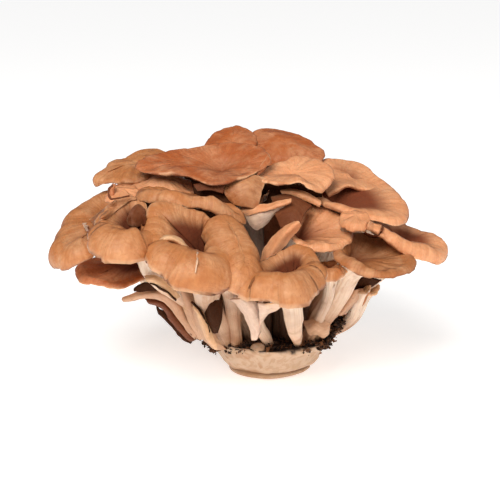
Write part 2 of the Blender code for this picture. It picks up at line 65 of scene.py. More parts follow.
# How finely a frond's skin is divided, and the walls of its rolled margin.
TOP_BANDS = 26
CURL_BANDS = 12
UNDER_BANDS = 30
STEM_BANDS = 18
MARGIN_THICKNESS = 1.6
NECK_THICKNESS = 4.2
STEM_SINK = 0.6
CLOUD_CELLS = 16

SIDE_LENGTH = 1.15
LEAST_SIDES, MOST_SIDES = 56, 150
FROND_HABIT = dict(finish="amber_cap", stem=(2.8, 4.8), lift=10, steep=0.45, drop=8, lean=0.55, fill=0.7,
                   wave=0.9, throat_shading=1.0, dents=())

# Base: (radius, z, x of its middle, how deep in a fold), from the middle of its top to its cut face.
BASE_SIDES = 160
BASE_ROWS = 70
BASE_PROFILE = [(0, 16, 3, 0), (12, 16, 3, 0), (24, 16, 3, 0), (30, 16, 3, 0), (32.4, 15.8, 2.5, 0),
                (31.6, 14.4, 2, 0), (29, 12.6, 0.5, 0), (27, 10.4, 0, 0), (25, 7.8, 0, 0),
                (22.6, 5.2, 0, 0.1), (20.8, 3.9, 0, 0.5), (20.1, 3.3, 0, 1), (20.8, 2.7, 0, 0.4),
                (20.8, 1.5, 0, 0.1), (19.6, 0.3, 0, 0.4), (18.5, 0, 0, 0.3), (10, 0, 0, 0), (0, 0, 0, 0)]
FOOT_TILT = 1.6
FOOT_TILT_TOWARDS = 0.3
RIGHT_DRAWN_IN = 0.09
FRONT_RISE = 2.6
SOIL_OVERLAP = 0.5
KNOB_SPREAD = np.array([0.6, 0.4, 0.2])

# How strongly a skin shines, and how far light spreads in the flesh under it.
WAX_SPECULAR = 0.32
FLESH_SCATTER = (1.0, 0.45, 0.22)
SCATTER_DEPTH = 2.2

# Heaps of growing medium: the line they lie along, spread, number and usual length of the chips.
HEAPS = {
    "crumbs_front": dict(path=[(-23, -19, 18), (-11, -24, 18.6), (5, -27, 19), (19, -25, 19.2)],
                         spread=(4, 3.4, 2.6), count=520, length=3.4,
                         replaced=["substrate_front", "substrate_front_right"]),
    "crumbs_middle": dict(path=[(-16, -14, 17), (2, -16, 18), (22, -12, 17)], spread=(8, 7, 3),
                          count=260, length=4, replaced=[]),
    "crumbs_right": dict(path=[(24, -21, 18), (29, -17, 22), (33, -12, 26), (37, -7, 29)],
                         spread=(3.2, 5, 2.4), count=420, length=3, replaced=["substrate_right"]),
    "crumbs_left": dict(path=[(-27, -16, 14), (-32, -11, 17), (-38, -9, 22), (-50, -10, 30)],
                        spread=(2, 4, 1.6), count=170, length=2.8, replaced=[]),
    "crumbs_back": dict(path=[(-20, 22, 15.5), (6, 29, 15.2), (26, 20, 16)], spread=(5, 4, 2),
                        count=260, length=3.2, replaced=["substrate_back"]),
}

# Torn and folded sheets, and dark sheets of painted shade set in gaps and hollows. Each runs smoothly
# through its rails, and each rail through its points.
FLAKES = {
    "left_long_sheet": dict(finish="mauve_leaf", replaced=["leaf_left_long"], rails=[
        [(-72, -22, 43.6), (-65.4, -24, 46.8), (-58.4, -26, 49.2), (-52.1, -26, 48.9),
         (-46.5, -24, 45.3), (-42.4, -20, 37.9), (-39.2, -15, 29.1), (-33.1, -10, 18)],
        [(-72.4, -23, 42.9), (-65.3, -26, 45.6), (-58.2, -29, 48), (-52.5, -29, 47.3),
         (-47.8, -27, 43.6), (-43.8, -22, 36.5), (-40.2, -17, 28.2), (-35, -11, 18.3)],
        [(-72, -22, 41.9), (-65.5, -24, 43.5), (-58.5, -26, 45.1), (-53.7, -26, 43.8),
         (-49.5, -24, 39.9), (-45.9, -20, 33.8), (-42.3, -15, 25.9), (-37.6, -10, 18.5)]]),
    # Painted shade: a dark sheet under the long left leaf.
    "left_under_sheet": dict(finish="crevice_shade", rails=[
        [(-61.5, -19, 42.5), (-55.1, -20, 42), (-50.8, -19, 39.1), (-46.6, -16, 33), (-42.8, -13, 25.8),
         (-37.1, -9, 17.6)],
        [(-60.5, -20, 41.5), (-55, -21, 40.5), (-51.2, -20, 37.4), (-47.5, -17, 31.3),
         (-43.8, -14, 24.6), (-38.6, -9, 17.1)],
        [(-59.6, -18, 39.9), (-55.3, -18, 38), (-51.9, -17, 34.9), (-48.7, -15, 29.1),
         (-44.9, -12, 22.3), (-40.2, -8, 16.8)]]),
    "left_dark_sheet": dict(finish="old_skin_and_shade", rails=[
        [(-56.5, -14, 37.6), (-52.1, -14, 34.5), (-48.3, -12, 28.6), (-44.5, -10, 22.2), (-39.2, -7, 16.4)],
        [(-55.6, -14, 34.5), (-51.7, -14, 30.8), (-48.4, -12, 26), (-44.5, -10, 20.6), (-39.7, -7, 15.4)],
        [(-54.7, -13, 32.6), (-51.3, -13, 28.9), (-48, -11, 24.1), (-44.6, -9, 19.2), (-40.2, -7, 14.8)]]),
    "left_dark_tip": dict(finish="old_skin_and_shade", rails=[
        [(-65.8, -30, 50.6), (-62.3, -31, 53.2), (-58, -31, 54.2), (-53.3, -30, 53.1), (-49.6, -28, 49.5)],
        [(-65.8, -30, 49.4), (-62, -30, 49.1), (-58.1, -30, 49.6), (-53.4, -29, 49.3), (-49.7, -27, 45.7)]]),
    "left_small_flake": dict(finish="old_skin_and_shade", columns=16, rows=8, rails=[
        [(-56, -8, 33.1), (-53.5, -8, 32.6), (-50.1, -7, 29.1)],
        [(-55.5, -8, 32.1), (-53.5, -8, 30.5), (-50.1, -7, 27.5)]]),
    "left_tan_sheet": dict(finish="cream_leaf", replaced=["leaf_left_inner"], rails=[
        [(-37.2, -38, 45.5), (-33.8, -39, 42.9), (-30.5, -39, 37.4), (-28.7, -37, 31.2),
         (-26.9, -33, 25.3), (-23.7, -29, 19.8)],
        [(-36.6, -40, 44.2), (-34.2, -41, 41), (-31.4, -41, 36), (-30.1, -39, 30.3), (-28.4, -34, 24.6),
         (-25.1, -30, 19.6)],
        [(-35.8, -37, 40.2), (-34.4, -38, 36.5), (-33, -37, 31.7), (-31.2, -35, 27), (-29.4, -32, 22.9),
         (-27.1, -29, 19.3)]]),
    # Painted shade: a near-black sheet under the top wing.
    "wing_under_sheet": dict(finish="old_skin_and_shade", rails=[
        [(-39.5, -2, 101.2), (-32, -4, 100.6), (-23.7, -4, 99.6), (-15.9, -2, 100.2)],
        [(-38.5, -4, 95.6), (-31.6, -6, 94), (-23.7, -8, 93.5), (-14.9, -6, 94)],
        [(-36.5, -6, 90), (-30.5, -10, 87.9), (-22.1, -14, 87.4), (-13.9, -12, 87.4)]]),
    # Painted shade: a near-black sheet under the middle wing on the right.
    "right_under_sheet": dict(finish="old_skin_and_shade", rails=[
        [(-12, 2, 99.3), (-3.1, 2, 98.3), (6.8, 2, 96.8), (17.7, 2, 93.8), (25.7, 2, 92.3)],
        [(-10, 4, 92.8), (-2, 4, 90.8), (6.9, 4, 90.3), (16.9, 4, 88.2), (25.9, 4, 86.7)],
        [(-8, 4, 85.7), (-1, 2, 83.1), (6.9, 2, 84.1), (15.9, 2, 83.1), (25.7, 0, 82.5)]]),
    "fan_inner_fold": dict(finish="tan_cap", rows=24, rails=[
        [(24.8, 38, 96), (31.5, 37, 96.2), (39.8, 36, 95.3), (47.8, 32, 93), (56.7, 26, 90.6)],
        [(25.8, 24, 93.6), (31.9, 25, 94.5), (39.7, 27, 93.5), (47.4, 26, 91.1), (56, 24, 89.5)],
        [(27.2, 12, 91.1), (32.4, 15, 92.5), (39.7, 19, 92.6), (47, 20, 90.3), (54.7, 20.5, 89.2)],
        [(28.4, 6, 88.8), (33.1, 9, 91.2), (39.3, 13, 92.1), (46.2, 16.5, 89.8), (53, 18.5, 88.6)],
        [(29.1, 8, 87.3), (34.2, 11, 89.5), (40, 15, 90.7), (46.3, 17, 88.7), (52.4, 17.5, 88)]]),
    "left_folded_strip": dict(finish="cup_brown", columns=40, rows=10, thickness=0.7, ragged=0.7, rails=[
        [(-63.9, -29.6, 95.6), (-68.1, -30.3, 95.8), (-72.1, -33, 95.2), (-76.6, -35.7, 93.2),
         (-85.2, -1.8, 81.7), (-89, -8.4, 79.7)],
        [(-63.3, -32, 95.2), (-67.1, -31.6, 95.1), (-71.1, -34, 94), (-75.1, -37.2, 91.9),
         (-79.1, -44.9, 90.1), (-87.2, -12.1, 78.9)],
        [(-63.7, -32.4, 94.6), (-66.6, -32.2, 93.8), (-70, -34.3, 92.1), (-73.9, -38, 90.1),
         (-77.5, -46.8, 89.1), (-80.8, -55.1, 88.1)]]),
    "crescent_fold": dict(finish="cream_leaf", rails=[
        [(-54.1, -60, 80), (-51.8, -60, 82.8), (-47.7, -60, 84.7), (-42.6, -61, 84), (-37.2, -62, 79.6)],
        [(-53.5, -63, 79.8), (-51.1, -64, 82.9), (-47, -64, 84.5), (-42.5, -65, 83.6), (-37.5, -65, 79.4)],
        [(-52.8, -60, 77.6), (-50.5, -60, 80), (-47.3, -60, 81.4), (-42.7, -61, 80.2), (-38.1, -62, 77.2)]]),
    "knot_strip": dict(finish="brown_cap", columns=20, rows=8, rails=[
        [(-77.6, -17, 91.5), (-78.1, -16, 94.3), (-77.7, -14, 97.3), (-76.4, -12, 98.8)],
        [(-76.3, -20, 92.2), (-76.8, -19, 95), (-76.5, -17, 97.5), (-75.7, -14, 98.8)],
        [(-75.4, -19, 92), (-75.5, -18, 94.7), (-75.6, -16, 97.2), (-74.8, -14, 98.8)]]),
    "right_torn_block": dict(finish="tan_cap", columns=18, rows=10, thickness=0.9, ragged=0.35, rails=[
        [(47.2, -22.5, 82.7), (50.7, -15.7, 80), (53.7, -20.1, 79.4)],
        [(45.9, -26.6, 81), (49.1, -23.9, 79.1), (52.4, -24.9, 77.9)],
        [(45.7, -26.7, 79.1), (49, -22.9, 76.9), (51.7, -24.5, 76)]]),
    "front_cream_flap": dict(finish="white_sheet", rails=[
        [(-19.9, -44, 49.9), (-16.1, -45, 47.2), (-12.8, -42, 40.8), (-10.5, -38, 33.5), (-9, -34, 26.1)],
        [(-14.7, -49, 51.9), (-11.4, -49, 48.9), (-8.6, -46, 42.6), (-7.1, -41, 35), (-7.1, -35, 26.4)],
        [(-8.1, -47, 51.3), (-5.8, -46, 48), (-4.3, -43, 42.1), (-4.7, -38, 34.5), (-6.1, -33, 26.8)]]),
    "front_white_flap": dict(finish="white_sheet", rails=[
        [(-6.3, -52, 50.9), (-2.1, -54, 51), (2.1, -54, 51), (6.8, -52, 50.4)],
        [(-5.8, -50, 45.8), (-3, -51, 46.1), (-0.2, -51, 47.1), (3.1, -50, 47.3)],
        [(-5.3, -44, 36.5), (-3.9, -45, 39.3), (-2, -47, 42.9), (0.3, -48, 45.7)]]),
    "right_dark_cap": dict(finish="old_skin_and_shade", rails=[
        [(36.2, -16, 49), (42, -16, 51.6), (48, -15, 52.3), (54.7, -12, 50.1)],
        [(37.4, -14, 45.8), (42.8, -14, 46.9), (47.8, -13, 47.1), (52.3, -12, 47.8)],
        [(38.8, -8, 40.4), (41.8, -8, 42), (45.3, -8, 43.5), (48.7, -8, 44.6)]]),
    "wing_torn_margin": dict(finish="brown_cap", columns=24, rows=8, rails=[
        [(-8, -2, 102.2), (-5.1, 0, 104.8), (-2.6, 3, 107.2), (-1.1, 6, 109.1)],
        [(-7.1, -4, 101.1), (-4.1, -2, 103.7), (-1.6, 1, 106.1), (-0.1, 4, 108)],
        [(-8, -3, 99.9), (-4.6, -1, 102), (-2.1, 1, 104.1), (0.4, 4, 106)]]),
    "left_tip_sheet": dict(finish="cream_leaf", replaced=["leaf_left_tip"], rails=[
        [(-60.1, -40, 59.5), (-56.6, -42, 61.2), (-52.4, -42, 59.8), (-47.9, -39, 54.8),
         (-42.9, -36, 48.4)],
        [(-59, -42, 58.9), (-56, -44, 59.7), (-52.4, -43, 57.2), (-48.9, -40, 53.1), (-44.8, -37, 47.7)],
        [(-57.8, -40, 57), (-55.3, -42, 56.9), (-52.6, -41, 54.1), (-49.4, -39, 51.1), (-46.3, -36, 46.9)]]),
    # Painted shade: a near-black sheet behind the throats on the left.
    "throat_back_sheet": dict(finish="old_skin_and_shade", rails=[
        [(-41.4, -27, 92.4), (-33.8, -27, 90.9), (-27.2, -26, 89.7), (-19.6, -24, 86.3)],
        [(-41.6, -25, 82.6), (-34, -24, 80.4), (-27.3, -23, 79.1), (-20.6, -22, 76.9)],
        [(-40.9, -22, 70.9), (-34.2, -20, 68.4), (-27.5, -18, 66.8), (-21.7, -18, 64.8)]]),
    "inner_lit_sheet": dict(finish="cup_brown", ragged=0.9, rails=[
        [(-24.2, -6, 98.5), (-16.8, -6, 101), (-9, -5, 101.8), (-1.7, -4, 99.6)],
        [(-23.1, -10, 94.9), (-16.8, -12, 96.4), (-10, -12, 96.9), (-4.1, -9, 95.2)],
        [(-22.2, -12, 91.9), (-16.3, -14, 90.8), (-11, -15, 90.1), (-5.6, -11, 91.2)],
        [(-19.7, -12, 89.4), (-14.9, -14, 87.4), (-10.5, -15, 86.6), (-6.6, -12, 86.9)]]),
    "back_lip_fold": dict(finish="tan_cap", columns=36, rows=10, rails=[
        [(4.8, 0, 92.7), (11.2, 0, 93.2), (18.1, -2, 91.6), (24.9, -5, 87.8)],
        [(4.8, -3, 92.9), (11.1, -4, 92.8), (18.4, -6, 90.5), (24.8, -8, 87.5)],
        [(5.8, -3, 91.4), (11.6, -4, 90.1), (18.5, -6, 88), (24.3, -8, 86)]]),
    "spur_sheet": dict(finish="white_sheet", replaced=["frond_spur"], rails=[
        [(-14.4, -8, 84.9), (-8.5, -11, 86.2), (0.2, -13, 87.6), (7, -14, 89.9), (9.9, -14, 90.8)],
        [(-12.9, -10, 82.9), (-8.1, -14, 83.9), (-1.8, -16, 85.3), (4, -16, 87.3), (7.4, -15, 88.6)],
        [(-10.5, -11, 79.1), (-7.6, -14, 79.9), (-4.2, -15, 81.1), (-0.3, -15, 83.1), (2.6, -14, 84.9)],
        [(-7.1, -11, 75.6), (-6.1, -12, 75.3), (-4.6, -13, 76.6), (-3.2, -13, 77.6), (-1.7, -13, 79.1)]]),
    # Painted shade: a dark sheet at the back of the middle.
    "middle_back_sheet": dict(finish="crevice_shade", rails=[
        [(-12, 8, 83.2), (-4, 10, 82.8), (5.1, 12, 82.3), (15.2, 12, 80.7)],
        [(-11, 8, 72.9), (-2.9, 10, 72.4), (6.2, 12, 71.4), (15.3, 12, 70.3)],
        [(-10, 8, 53.6), (-1.9, 8, 52.5), (7.2, 8, 52.5), (15.4, 8, 53.6)]]),
    "left_tan_edge": dict(finish="old_skin_and_shade", columns=30, rows=6, rails=[
        [(-38.1, -39, 46.8), (-34.7, -41, 44.5), (-31.4, -42, 39.3), (-29.6, -40, 32.7)],
        [(-37.1, -39, 45.6), (-33.8, -41, 42.5), (-30.9, -42, 37.3), (-29.6, -40, 31.2)]]),
    # Painted shade: a near-black sheet for a stem in shadow at the front.
    "dark_stem_sheet": dict(finish="old_skin_and_shade", ragged=0.3, rails=[
        [(-30, -37, 50.7), (-31.4, -38, 46), (-31.5, -38, 40), (-30.1, -37, 34.7), (-27.8, -35, 30)],
        [(-27.5, -42, 52.7), (-27.9, -44, 47.9), (-28, -44, 42), (-27.6, -42, 36.3), (-26.8, -37, 30.7)],
        [(-23.8, -38, 50.5), (-23.3, -39, 45.8), (-23.4, -39, 40.4), (-24.4, -38, 35), (-25.9, -35, 30)]]),
    "left_foot_sheet": dict(finish="mauve_leaf", rails=[
        [(-40.3, -22, 39.6), (-37.4, -23, 31.7), (-33.5, -25, 24.6), (-28.1, -26, 19.3)],
        [(-34.1, -32, 41.7), (-31.7, -33, 33.9), (-29.4, -32, 26.4), (-25.1, -30, 19.6)],
        [(-28.4, -30, 36), (-27.5, -30, 30.4), (-25.6, -30, 24.8), (-21.7, -30, 19.6)]]),
    "right_leaf_sheet": dict(finish="mauve_leaf", rails=[
        [(39.6, -17, 46.2), (37.1, -18, 42.4), (34.8, -18, 38.3), (31.4, -17, 33.9)],
        [(42.3, -20, 47.6), (40.3, -21, 43.8), (37.5, -21, 39.2), (33.3, -19, 34)],
        [(45.6, -16, 46.9), (43.7, -16, 42.3), (40.3, -16, 37.7), (35.5, -15, 32.7)]]),
    "right_leaf_back": dict(finish="cup_brown", rails=[
        [(46.4, -12, 46.3), (46.4, -13, 42.4), (44, -13, 38.3), (39.6, -13, 34.2)],
        [(50.5, -10, 46.7), (48.5, -11, 41.3), (45.1, -12, 36.4), (39.7, -12, 31.2)]]),
    "right_lump_sheet": dict(finish="mauve_leaf", ragged=1, rails=[
        [(16.5, -22, 31.3), (20.8, -24, 34), (25.2, -24, 32), (29.8, -20, 31.7)],
        [(17.3, -26, 28.5), (21.6, -28, 30.7), (26.1, -26, 28.5), (29.3, -22, 28.8)],
        [(18.9, -24, 24.8), (22.8, -25, 26.2), (26.8, -23, 24.5), (28.9, -20, 25)]]),
    "blade_sheet": dict(finish="tan_cap", replaced=["frond_blade"], rails=[
        [(11.3, -31, 84.5), (6.6, -30, 81.9), (1.9, -28, 76.9), (-1.4, -27, 72.7), (-3.8, -26, 68.5),
         (-5.2, -24, 61.4)],
        [(13.1, -34, 85.3), (9.3, -35, 82.1), (5.1, -35, 77.3), (1.9, -33, 72.3), (-0.9, -31, 67.8),
         (-2.8, -28, 62)],
        [(14.2, -32, 83.3), (12.8, -31, 80.1), (9.5, -30, 76), (6.7, -29, 71.7), (3.4, -27, 66.7),
         (0.6, -24, 60.9)]]),
    "spur_fold": dict(finish="tan_cap", rails=[
        [(-14.9, -8, 85.7), (-8.5, -11, 87.2), (0.2, -14, 88.9), (6.9, -15, 90.8), (10.3, -15, 91.6)],
        [(-13.9, -11, 84.7), (-8.5, -14, 85.9), (-0.8, -17, 87.6), (5.4, -18, 89.5), (10.3, -16, 90.8)],
        [(-12, -11, 82.4), (-8.1, -15, 83.9), (-1.8, -17.5, 86.2), (4, -17.5, 87.9), (8.9, -16, 89.6)]]),
    # Painted shade: a dark sheet in the hole of the left funnel.
    "left_cave": dict(finish="crevice_shade", columns=30, rows=14, thickness=0.6, ragged=0.2, rails=[
        [(-63.9, -34, 93), (-62.2, -34.1, 93.5), (-60.6, -36.4, 93.1), (-59.1, -38.5, 92.2)],
        [(-66, -34.8, 90.8), (-63.6, -35.2, 90.9), (-61, -38.2, 91.1), (-58.5, -40.1, 90.6)],
        [(-67.1, -36.1, 88.7), (-64.5, -36.4, 88.8), (-61.4, -40.1, 89.2), (-57.8, -49.8, 91.1)],
        [(-67.7, -38, 87), (-65, -36.8, 86.5), (-61.4, -40.7, 87.2), (-57.7, -52.2, 89.8)],
        [(-67.2, -38.7, 84.5), (-64.9, -38.6, 83.5), (-62, -38.9, 83.6), (-58, -53.9, 88.3)]]),
    "pale_crack": dict(finish="white_sheet", thickness=0.6, ragged=0.1, columns=40, rows=4, rails=[
        [(-34.1, -69.2, 80.5), (-33.6, -76.1, 81), (-33.5, -78.7, 80.3), (-33.5, -80.6, 79.5),
         (-33.9, -83.5, 77.1), (-34.2, -85.3, 74.4)],
        [(-34, -49.2, 75.2), (-32.8, -75.7, 80.9), (-33.8, -52.5, 73.2), (-32.8, -80.4, 79.4),
         (-33.2, -83.3, 77), (-33.7, -85.1, 74.4)]]),
    "flap_edge": dict(finish="old_skin_and_shade", columns=24, rows=5, thickness=0.8, rails=[
        [(-8.6, -49, 51.4), (-6.7, -49, 49.4), (-5.3, -47, 45.9), (-4.6, -45, 41.8)],
        [(-7.7, -49, 51.4), (-5.6, -49, 49.4), (-4.1, -47, 45.9), (-3.9, -45, 41.8)]]),
    "left_white_spot": dict(finish="white_sheet", columns=16, rows=6, thickness=0.5, rails=[
        [(-92.2, -12.7, 79), (-91, -16.8, 78.1), (-89, -19.8, 76.8)],
        [(-90.1, -11.6, 79.3), (-88.7, -15.7, 78.3), (-83.6, -55.6, 85.9)]]),
    # Painted shade: a dark outline round the knot.
    "knot_outline": dict(finish="crevice_shade", columns=36, rows=5, thickness=0.6, rails=[
        [(-75.2, -31, 102.5), (-77, -32, 100.8), (-77.1, -34, 98.8), (-75.8, -36, 96.4),
         (-71.8, -36, 96.6), (-66.8, -34, 96.9)],
        [(-74.5, -31, 101.8), (-76.1, -32, 100.3), (-76.2, -34, 98.8), (-74.9, -36, 97.1),
         (-71.4, -36, 97.4), (-66.8, -34, 97.7)]]),
    # Painted shade: a dark sheet in the pocket under the wing.
    "wing_pocket": dict(finish="crevice_shade", columns=24, rows=10, thickness=0.6, rails=[
        [(-37.7, -10, 97.9), (-32.8, -11, 99.1), (-27.5, -12, 98.8), (-22.1, -12, 99.3)],
        [(-36.7, -12, 96.4), (-32.3, -12, 96.9), (-27, -13, 97.1), (-22.6, -13, 96.6)],
        [(-35.7, -13, 94.8), (-31.3, -13, 95.1), (-26.9, -14, 94.8), (-23.1, -14, 93.8)]]),
    # Painted shade: a near-black sheet in the gap under the top caps.
    "top_gap_sheet": dict(finish="old_skin_and_shade", columns=30, rows=12, rails=[
        [(-43.6, 22, 95.1), (-32.9, 22, 96.1), (-15.1, 22, 97.7), (0.2, 22, 100.8)],
        [(-43.5, 17, 87.9), (-32.8, 17, 85.8), (-15.1, 17, 83.7), (2.7, 17, 85.3)]]),
    # Painted shade: a near-black sheet in the gap under the long lip.
    "long_lip_gap": dict(finish="old_skin_and_shade", columns=16, rows=8, rails=[
        [(-63.2, -10, 90.9), (-58.7, -10, 91.7), (-54.4, -10, 89.9)],
        [(-62.6, -12, 84.9), (-58.7, -12, 84.9), (-54.8, -12, 84.9)]]),
    "left_stem_sheet": dict(finish="mauve_leaf", columns=36, rows=12, rails=[
        [(-58.2, -26, 60.5), (-52.1, -25, 54.2), (-46.9, -24, 47.3), (-42.8, -22, 38.5),
         (-39, -20, 28.6), (-34.7, -19, 21)],
        [(-53.1, -30, 62.1), (-47.5, -29, 55.3), (-42.8, -28, 48.5), (-38.7, -26, 39.8),
         (-35.4, -24, 29.9), (-31.6, -23, 22.4)],
        [(-47.6, -26, 60), (-42.9, -26, 54), (-38.6, -25, 47.1), (-35.4, -24, 39.2), (-32.6, -22, 29.8),
         (-29.2, -21, 21.7)]]),
    # Painted shade: a dark sheet in the middle of the cluster.
    "middle_brown_sheet": dict(finish="crevice_shade", columns=36, rows=14, rails=[
        [(-0.1, -3, 90.3), (6.7, -4, 91.6), (13.5, -6, 90), (20.3, -10, 86.9)],
        [(2.1, -14, 84.9), (6.9, -17, 85.6), (11.7, -19, 85.6), (16.1, -18, 83.8)],
        [(5, -20, 78.4), (7.3, -23, 77.6), (10.1, -27, 77.2), (12.5, -27, 76.2)]]),
    # Painted shade: a dark crack under the torn block on the right.
    "right_torn_crack": dict(finish="crevice_shade", columns=24, rows=5, thickness=0.5, ragged=0.2, rails=[
        [(53.8, -21.4, 79.5), (52.8, -24.9, 78.1), (51.4, -24.9, 75.9), (47.5, -31.8, 78.1),
         (44.9, -28.4, 78.7)],
        [(54.5, -22.4, 79.2), (53.6, -25.1, 77.7), (53.7, -9.4, 70.7), (49.2, -10.4, 71.4),
         (45.4, -10.7, 73.1)]]),
    "tip_edge": dict(finish="old_skin_and_shade", columns=30, rows=4, thickness=0.6, rails=[
        [(-57.6, -42, 56.9), (-55.2, -43.5, 56.6), (-52.5, -42.5, 53.8), (-49.3, -40.5, 50.8),
         (-45.8, -37, 46.2)],
        [(-57.1, -42.5, 57.9), (-54.7, -44, 57.6), (-52, -43, 55), (-48.8, -41, 51.9), (-45.2, -38, 47.5)]]),
}

FLOOR_RADIUS = 8.0

# Soft lights: place, width and share of the key light's power.
LIGHTS = {
    "front_softbox": ((-0.35, -0.85, 0.95), 0.7, 1.0),
    "right_softbox": ((1.1, -0.5, 0.7), 0.8, 0.3),
}

# Fronds. A crest point is its place, the radius of the rolled margin there and its roll in degrees.
# Left side.
LEFT_FRONDS = {
    "left_drooping_frond": dict(
        throat=(-75, -4, 76), root=(-16, 3), lean=0.8, steep=0.35, lift=0, throat_shading=0.5,
        crest=[(-70, -14, 83, 3, 60), (-72, 4, 88, 3, 70), (-81, 12, 89, 4, 90), (-92, 6, 84, 8, 100),
               (-99, -10, 79, 9, 110), (-98, -27, 74, 9, 115), (-92, -34, 74, 7, 100),
               (-86, -28, 76, 4, 80), (-77, -22, 80, 3, 70)]),
    "left_funnel_frond": dict(
        throat=(-59, -38, 73), root=(-26, -6), lean=0.8, stem=(3.6, 6), steep=0.7, lift=30, drop=6,
        throat_shading=1.5,
        crest=[(-58, -44, 88, 2.5, 85), (-61, -34, 93, 2.5, 60), (-68, -30, 95, 2, 50),
               (-74, -34, 93, 2, 50), (-76, -38, 91, 2.5, 60), (-76, -44, 89, 4.5, 90),
               (-73, -53, 88, 8, 116), (-69, -59, 88, 10, 121), (-64, -60, 88, 10.2, 121),
               (-59, -55, 86, 8, 114)]),
    "front_left_funnel_frond": dict(
        throat=(-30, -45, 64), root=(-20, -16), lean=0.3, stem=(4, 7), steep=0.7, lift=32, throat_shading=1.8,
        dents=[((-48, -48, 80), 10, (1, -4, 1))],
        crest=[(-26, -60, 79, 8.5, 112), (-26, -48, 81, 4, 80), (-29, -40, 86, 2.5, 70),
               (-33, -40, 90, 2.5, 60), (-40, -41, 92, 3, 65), (-46, -43, 94, 4, 75),
               (-51, -45, 93, 4.5, 85), (-51, -49, 89, 5, 95), (-49, -58, 84, 7, 110),
               (-44, -65, 83, 9.8, 118), (-38, -69, 82, 11.3, 122), (-32, -71, 81, 11.8, 122),
               (-28, -67, 79, 10.5, 118)]),
    "low_left_frond": dict(
        finish="brown_cap", throat=(-64, -10, 56), root=(-24, 3), lean=0.85, stem=(2.6, 3.6), steep=0.5,
        lift=15, drop=5, throat_shading=0.9,
        crest=[(-59, -20, 58, 2, 60), (-60, -8, 60, 2, 50), (-75, -4, 60, 2, 50), (-86, -8, 60, 3, 60),
               (-91, -18, 59, 4, 80), (-87, -28, 57, 4, 100), (-79, -33, 55, 2.5, 100),
               (-72, -34, 55, 2, 100), (-64, -30, 56, 2, 80)]),
    "knot_frond": dict(
        finish="tan_cap", throat=(-71, -13, 96), root=(-57, -15, 82), stem=(2, 3), steep=0.2, lift=-5,
        drop=7, wave=0.8, throat_shading=0,
        crest=[(-64, -14, 94, 2, 90), (-67, -7, 96, 2, 70), (-73, -6, 97, 2, 80), (-77, -11, 96, 2, 110),
               (-76, -19, 94, 2.5, 110), (-69, -21, 93, 2.5, 110), (-65, -18, 93, 2, 100)]),
    "upper_left_frond": dict(
        finish="tan_cap", throat=(-53, 0, 99), root=(-9, -5), steep=0.28, lift=-8, throat_shading=0,
        crest=[(-38, 2, 94, 2, 90), (-42, 10, 97, 2, 70), (-52, 14, 97, 2.5, 70), (-62, 10, 97, 3, 80),
               (-66, 2, 95, 3, 100), (-63, -6, 94, 3, 100), (-54, -10, 94, 2.5, 90), (-43, -8, 93, 2, 90)]),
    "top_left_frond": dict(
        throat=(-67, 20, 102), root=(-16, 10.5), steep=0.28, lift=-6, throat_shading=0,
        crest=[(-52, 26, 104, 2.5, 60), (-54, 36, 105, 3, 70), (-63, 36, 106, 3, 70),
               (-74, 26, 104, 3, 80), (-82, 16, 102, 3, 90), (-86, 10, 98, 4, 130),
               (-82, 6, 97, 2.5, 90), (-74, 4, 98, 2, 70), (-66, 4, 98, 2, 60), (-56, 10, 100, 2, 50)]),
}

# Middle.
MIDDLE_FRONDS = {
    "long_lip_frond": dict(
        throat=(-40, -18, 89), root=(-8, -13), stem=(3.6, 6), steep=0.3, lift=10,
        crest=[(-16, -24, 87, 5.5, 100), (-19, -15, 89, 3, 70), (-32, -8, 91, 2.5, 50),
               (-47, -6, 94, 2.5, 50), (-58, -10, 96, 3, 70), (-59, -20, 97, 4.5, 105),
               (-54, -28, 99, 5.5, 116), (-44, -31, 99, 5.5, 116), (-35, -31, 97, 5, 114),
               (-28, -30, 95, 5, 112), (-21, -28, 91, 5.5, 112)]),
    "centre_lobe_frond": dict(
        throat=(-16.5, -58.5, 84.2), root=(-16.5, -18.5), lean=0.3, stem=(3, 5.2), steep=0, lift=0,
        drop=14, wave=0, throat_shading=0,
        crest=[(-10.5, -69.4, 73.8, 8.5, 105), (-11.9, -65.4, 77.3, 10, 105),
               (-13.7, -60.4, 80.7, 10.5, 105), (-15.6, -55.4, 84.1, 10, 105),
               (-17.9, -49.4, 87.3, 8.5, 105), (-19.8, -46.4, 89.4, 7.5, 105),
               (-22.4, -47.6, 89.4, 7.5, 108), (-20.5, -50.6, 87.3, 8.5, 108),
               (-18.2, -56.6, 84.1, 10, 108), (-16.3, -61.6, 80.7, 10.5, 108),
               (-14.5, -66.6, 77.3, 10, 108), (-13.1, -70.6, 73.8, 8.5, 108)]),
    "front_funnel_frond": dict(
        throat=(10, -50, 48), root=(13.5, -22), stem=(1.5, 4.6), steep=0.7, lift=30, throat_shading=2.2,
        crest=[(16, -52, 69, 5, 108), (17, -44, 72, 3, 80), (13, -40, 74, 2.5, 60),
               (6, -40, 72, 2.5, 60), (0, -44, 69, 3, 70), (-4, -51, 69, 5, 90), (-7, -58, 69, 7.5, 106),
               (-4, -66, 70, 10, 120), (3, -71, 70, 10.8, 122), (10, -65, 70, 10.2, 120),
               (14, -58.5, 70, 7.6, 114)]),
    "inner_sheet_frond": dict(
        finish="tan_cap", throat=(-8, 4, 72), root=(-2, 0), stem=(3, 4), steep=0.6, lift=50,
        crest=[(-2, 4, 91, 2, 50), (-4, 12, 91, 2, 50), (-10, 14, 90, 2, 50), (-15, 8, 88, 2, 50),
               (-14, 0, 86, 2, 50), (-8, -4, 85, 2, 50)]),
}

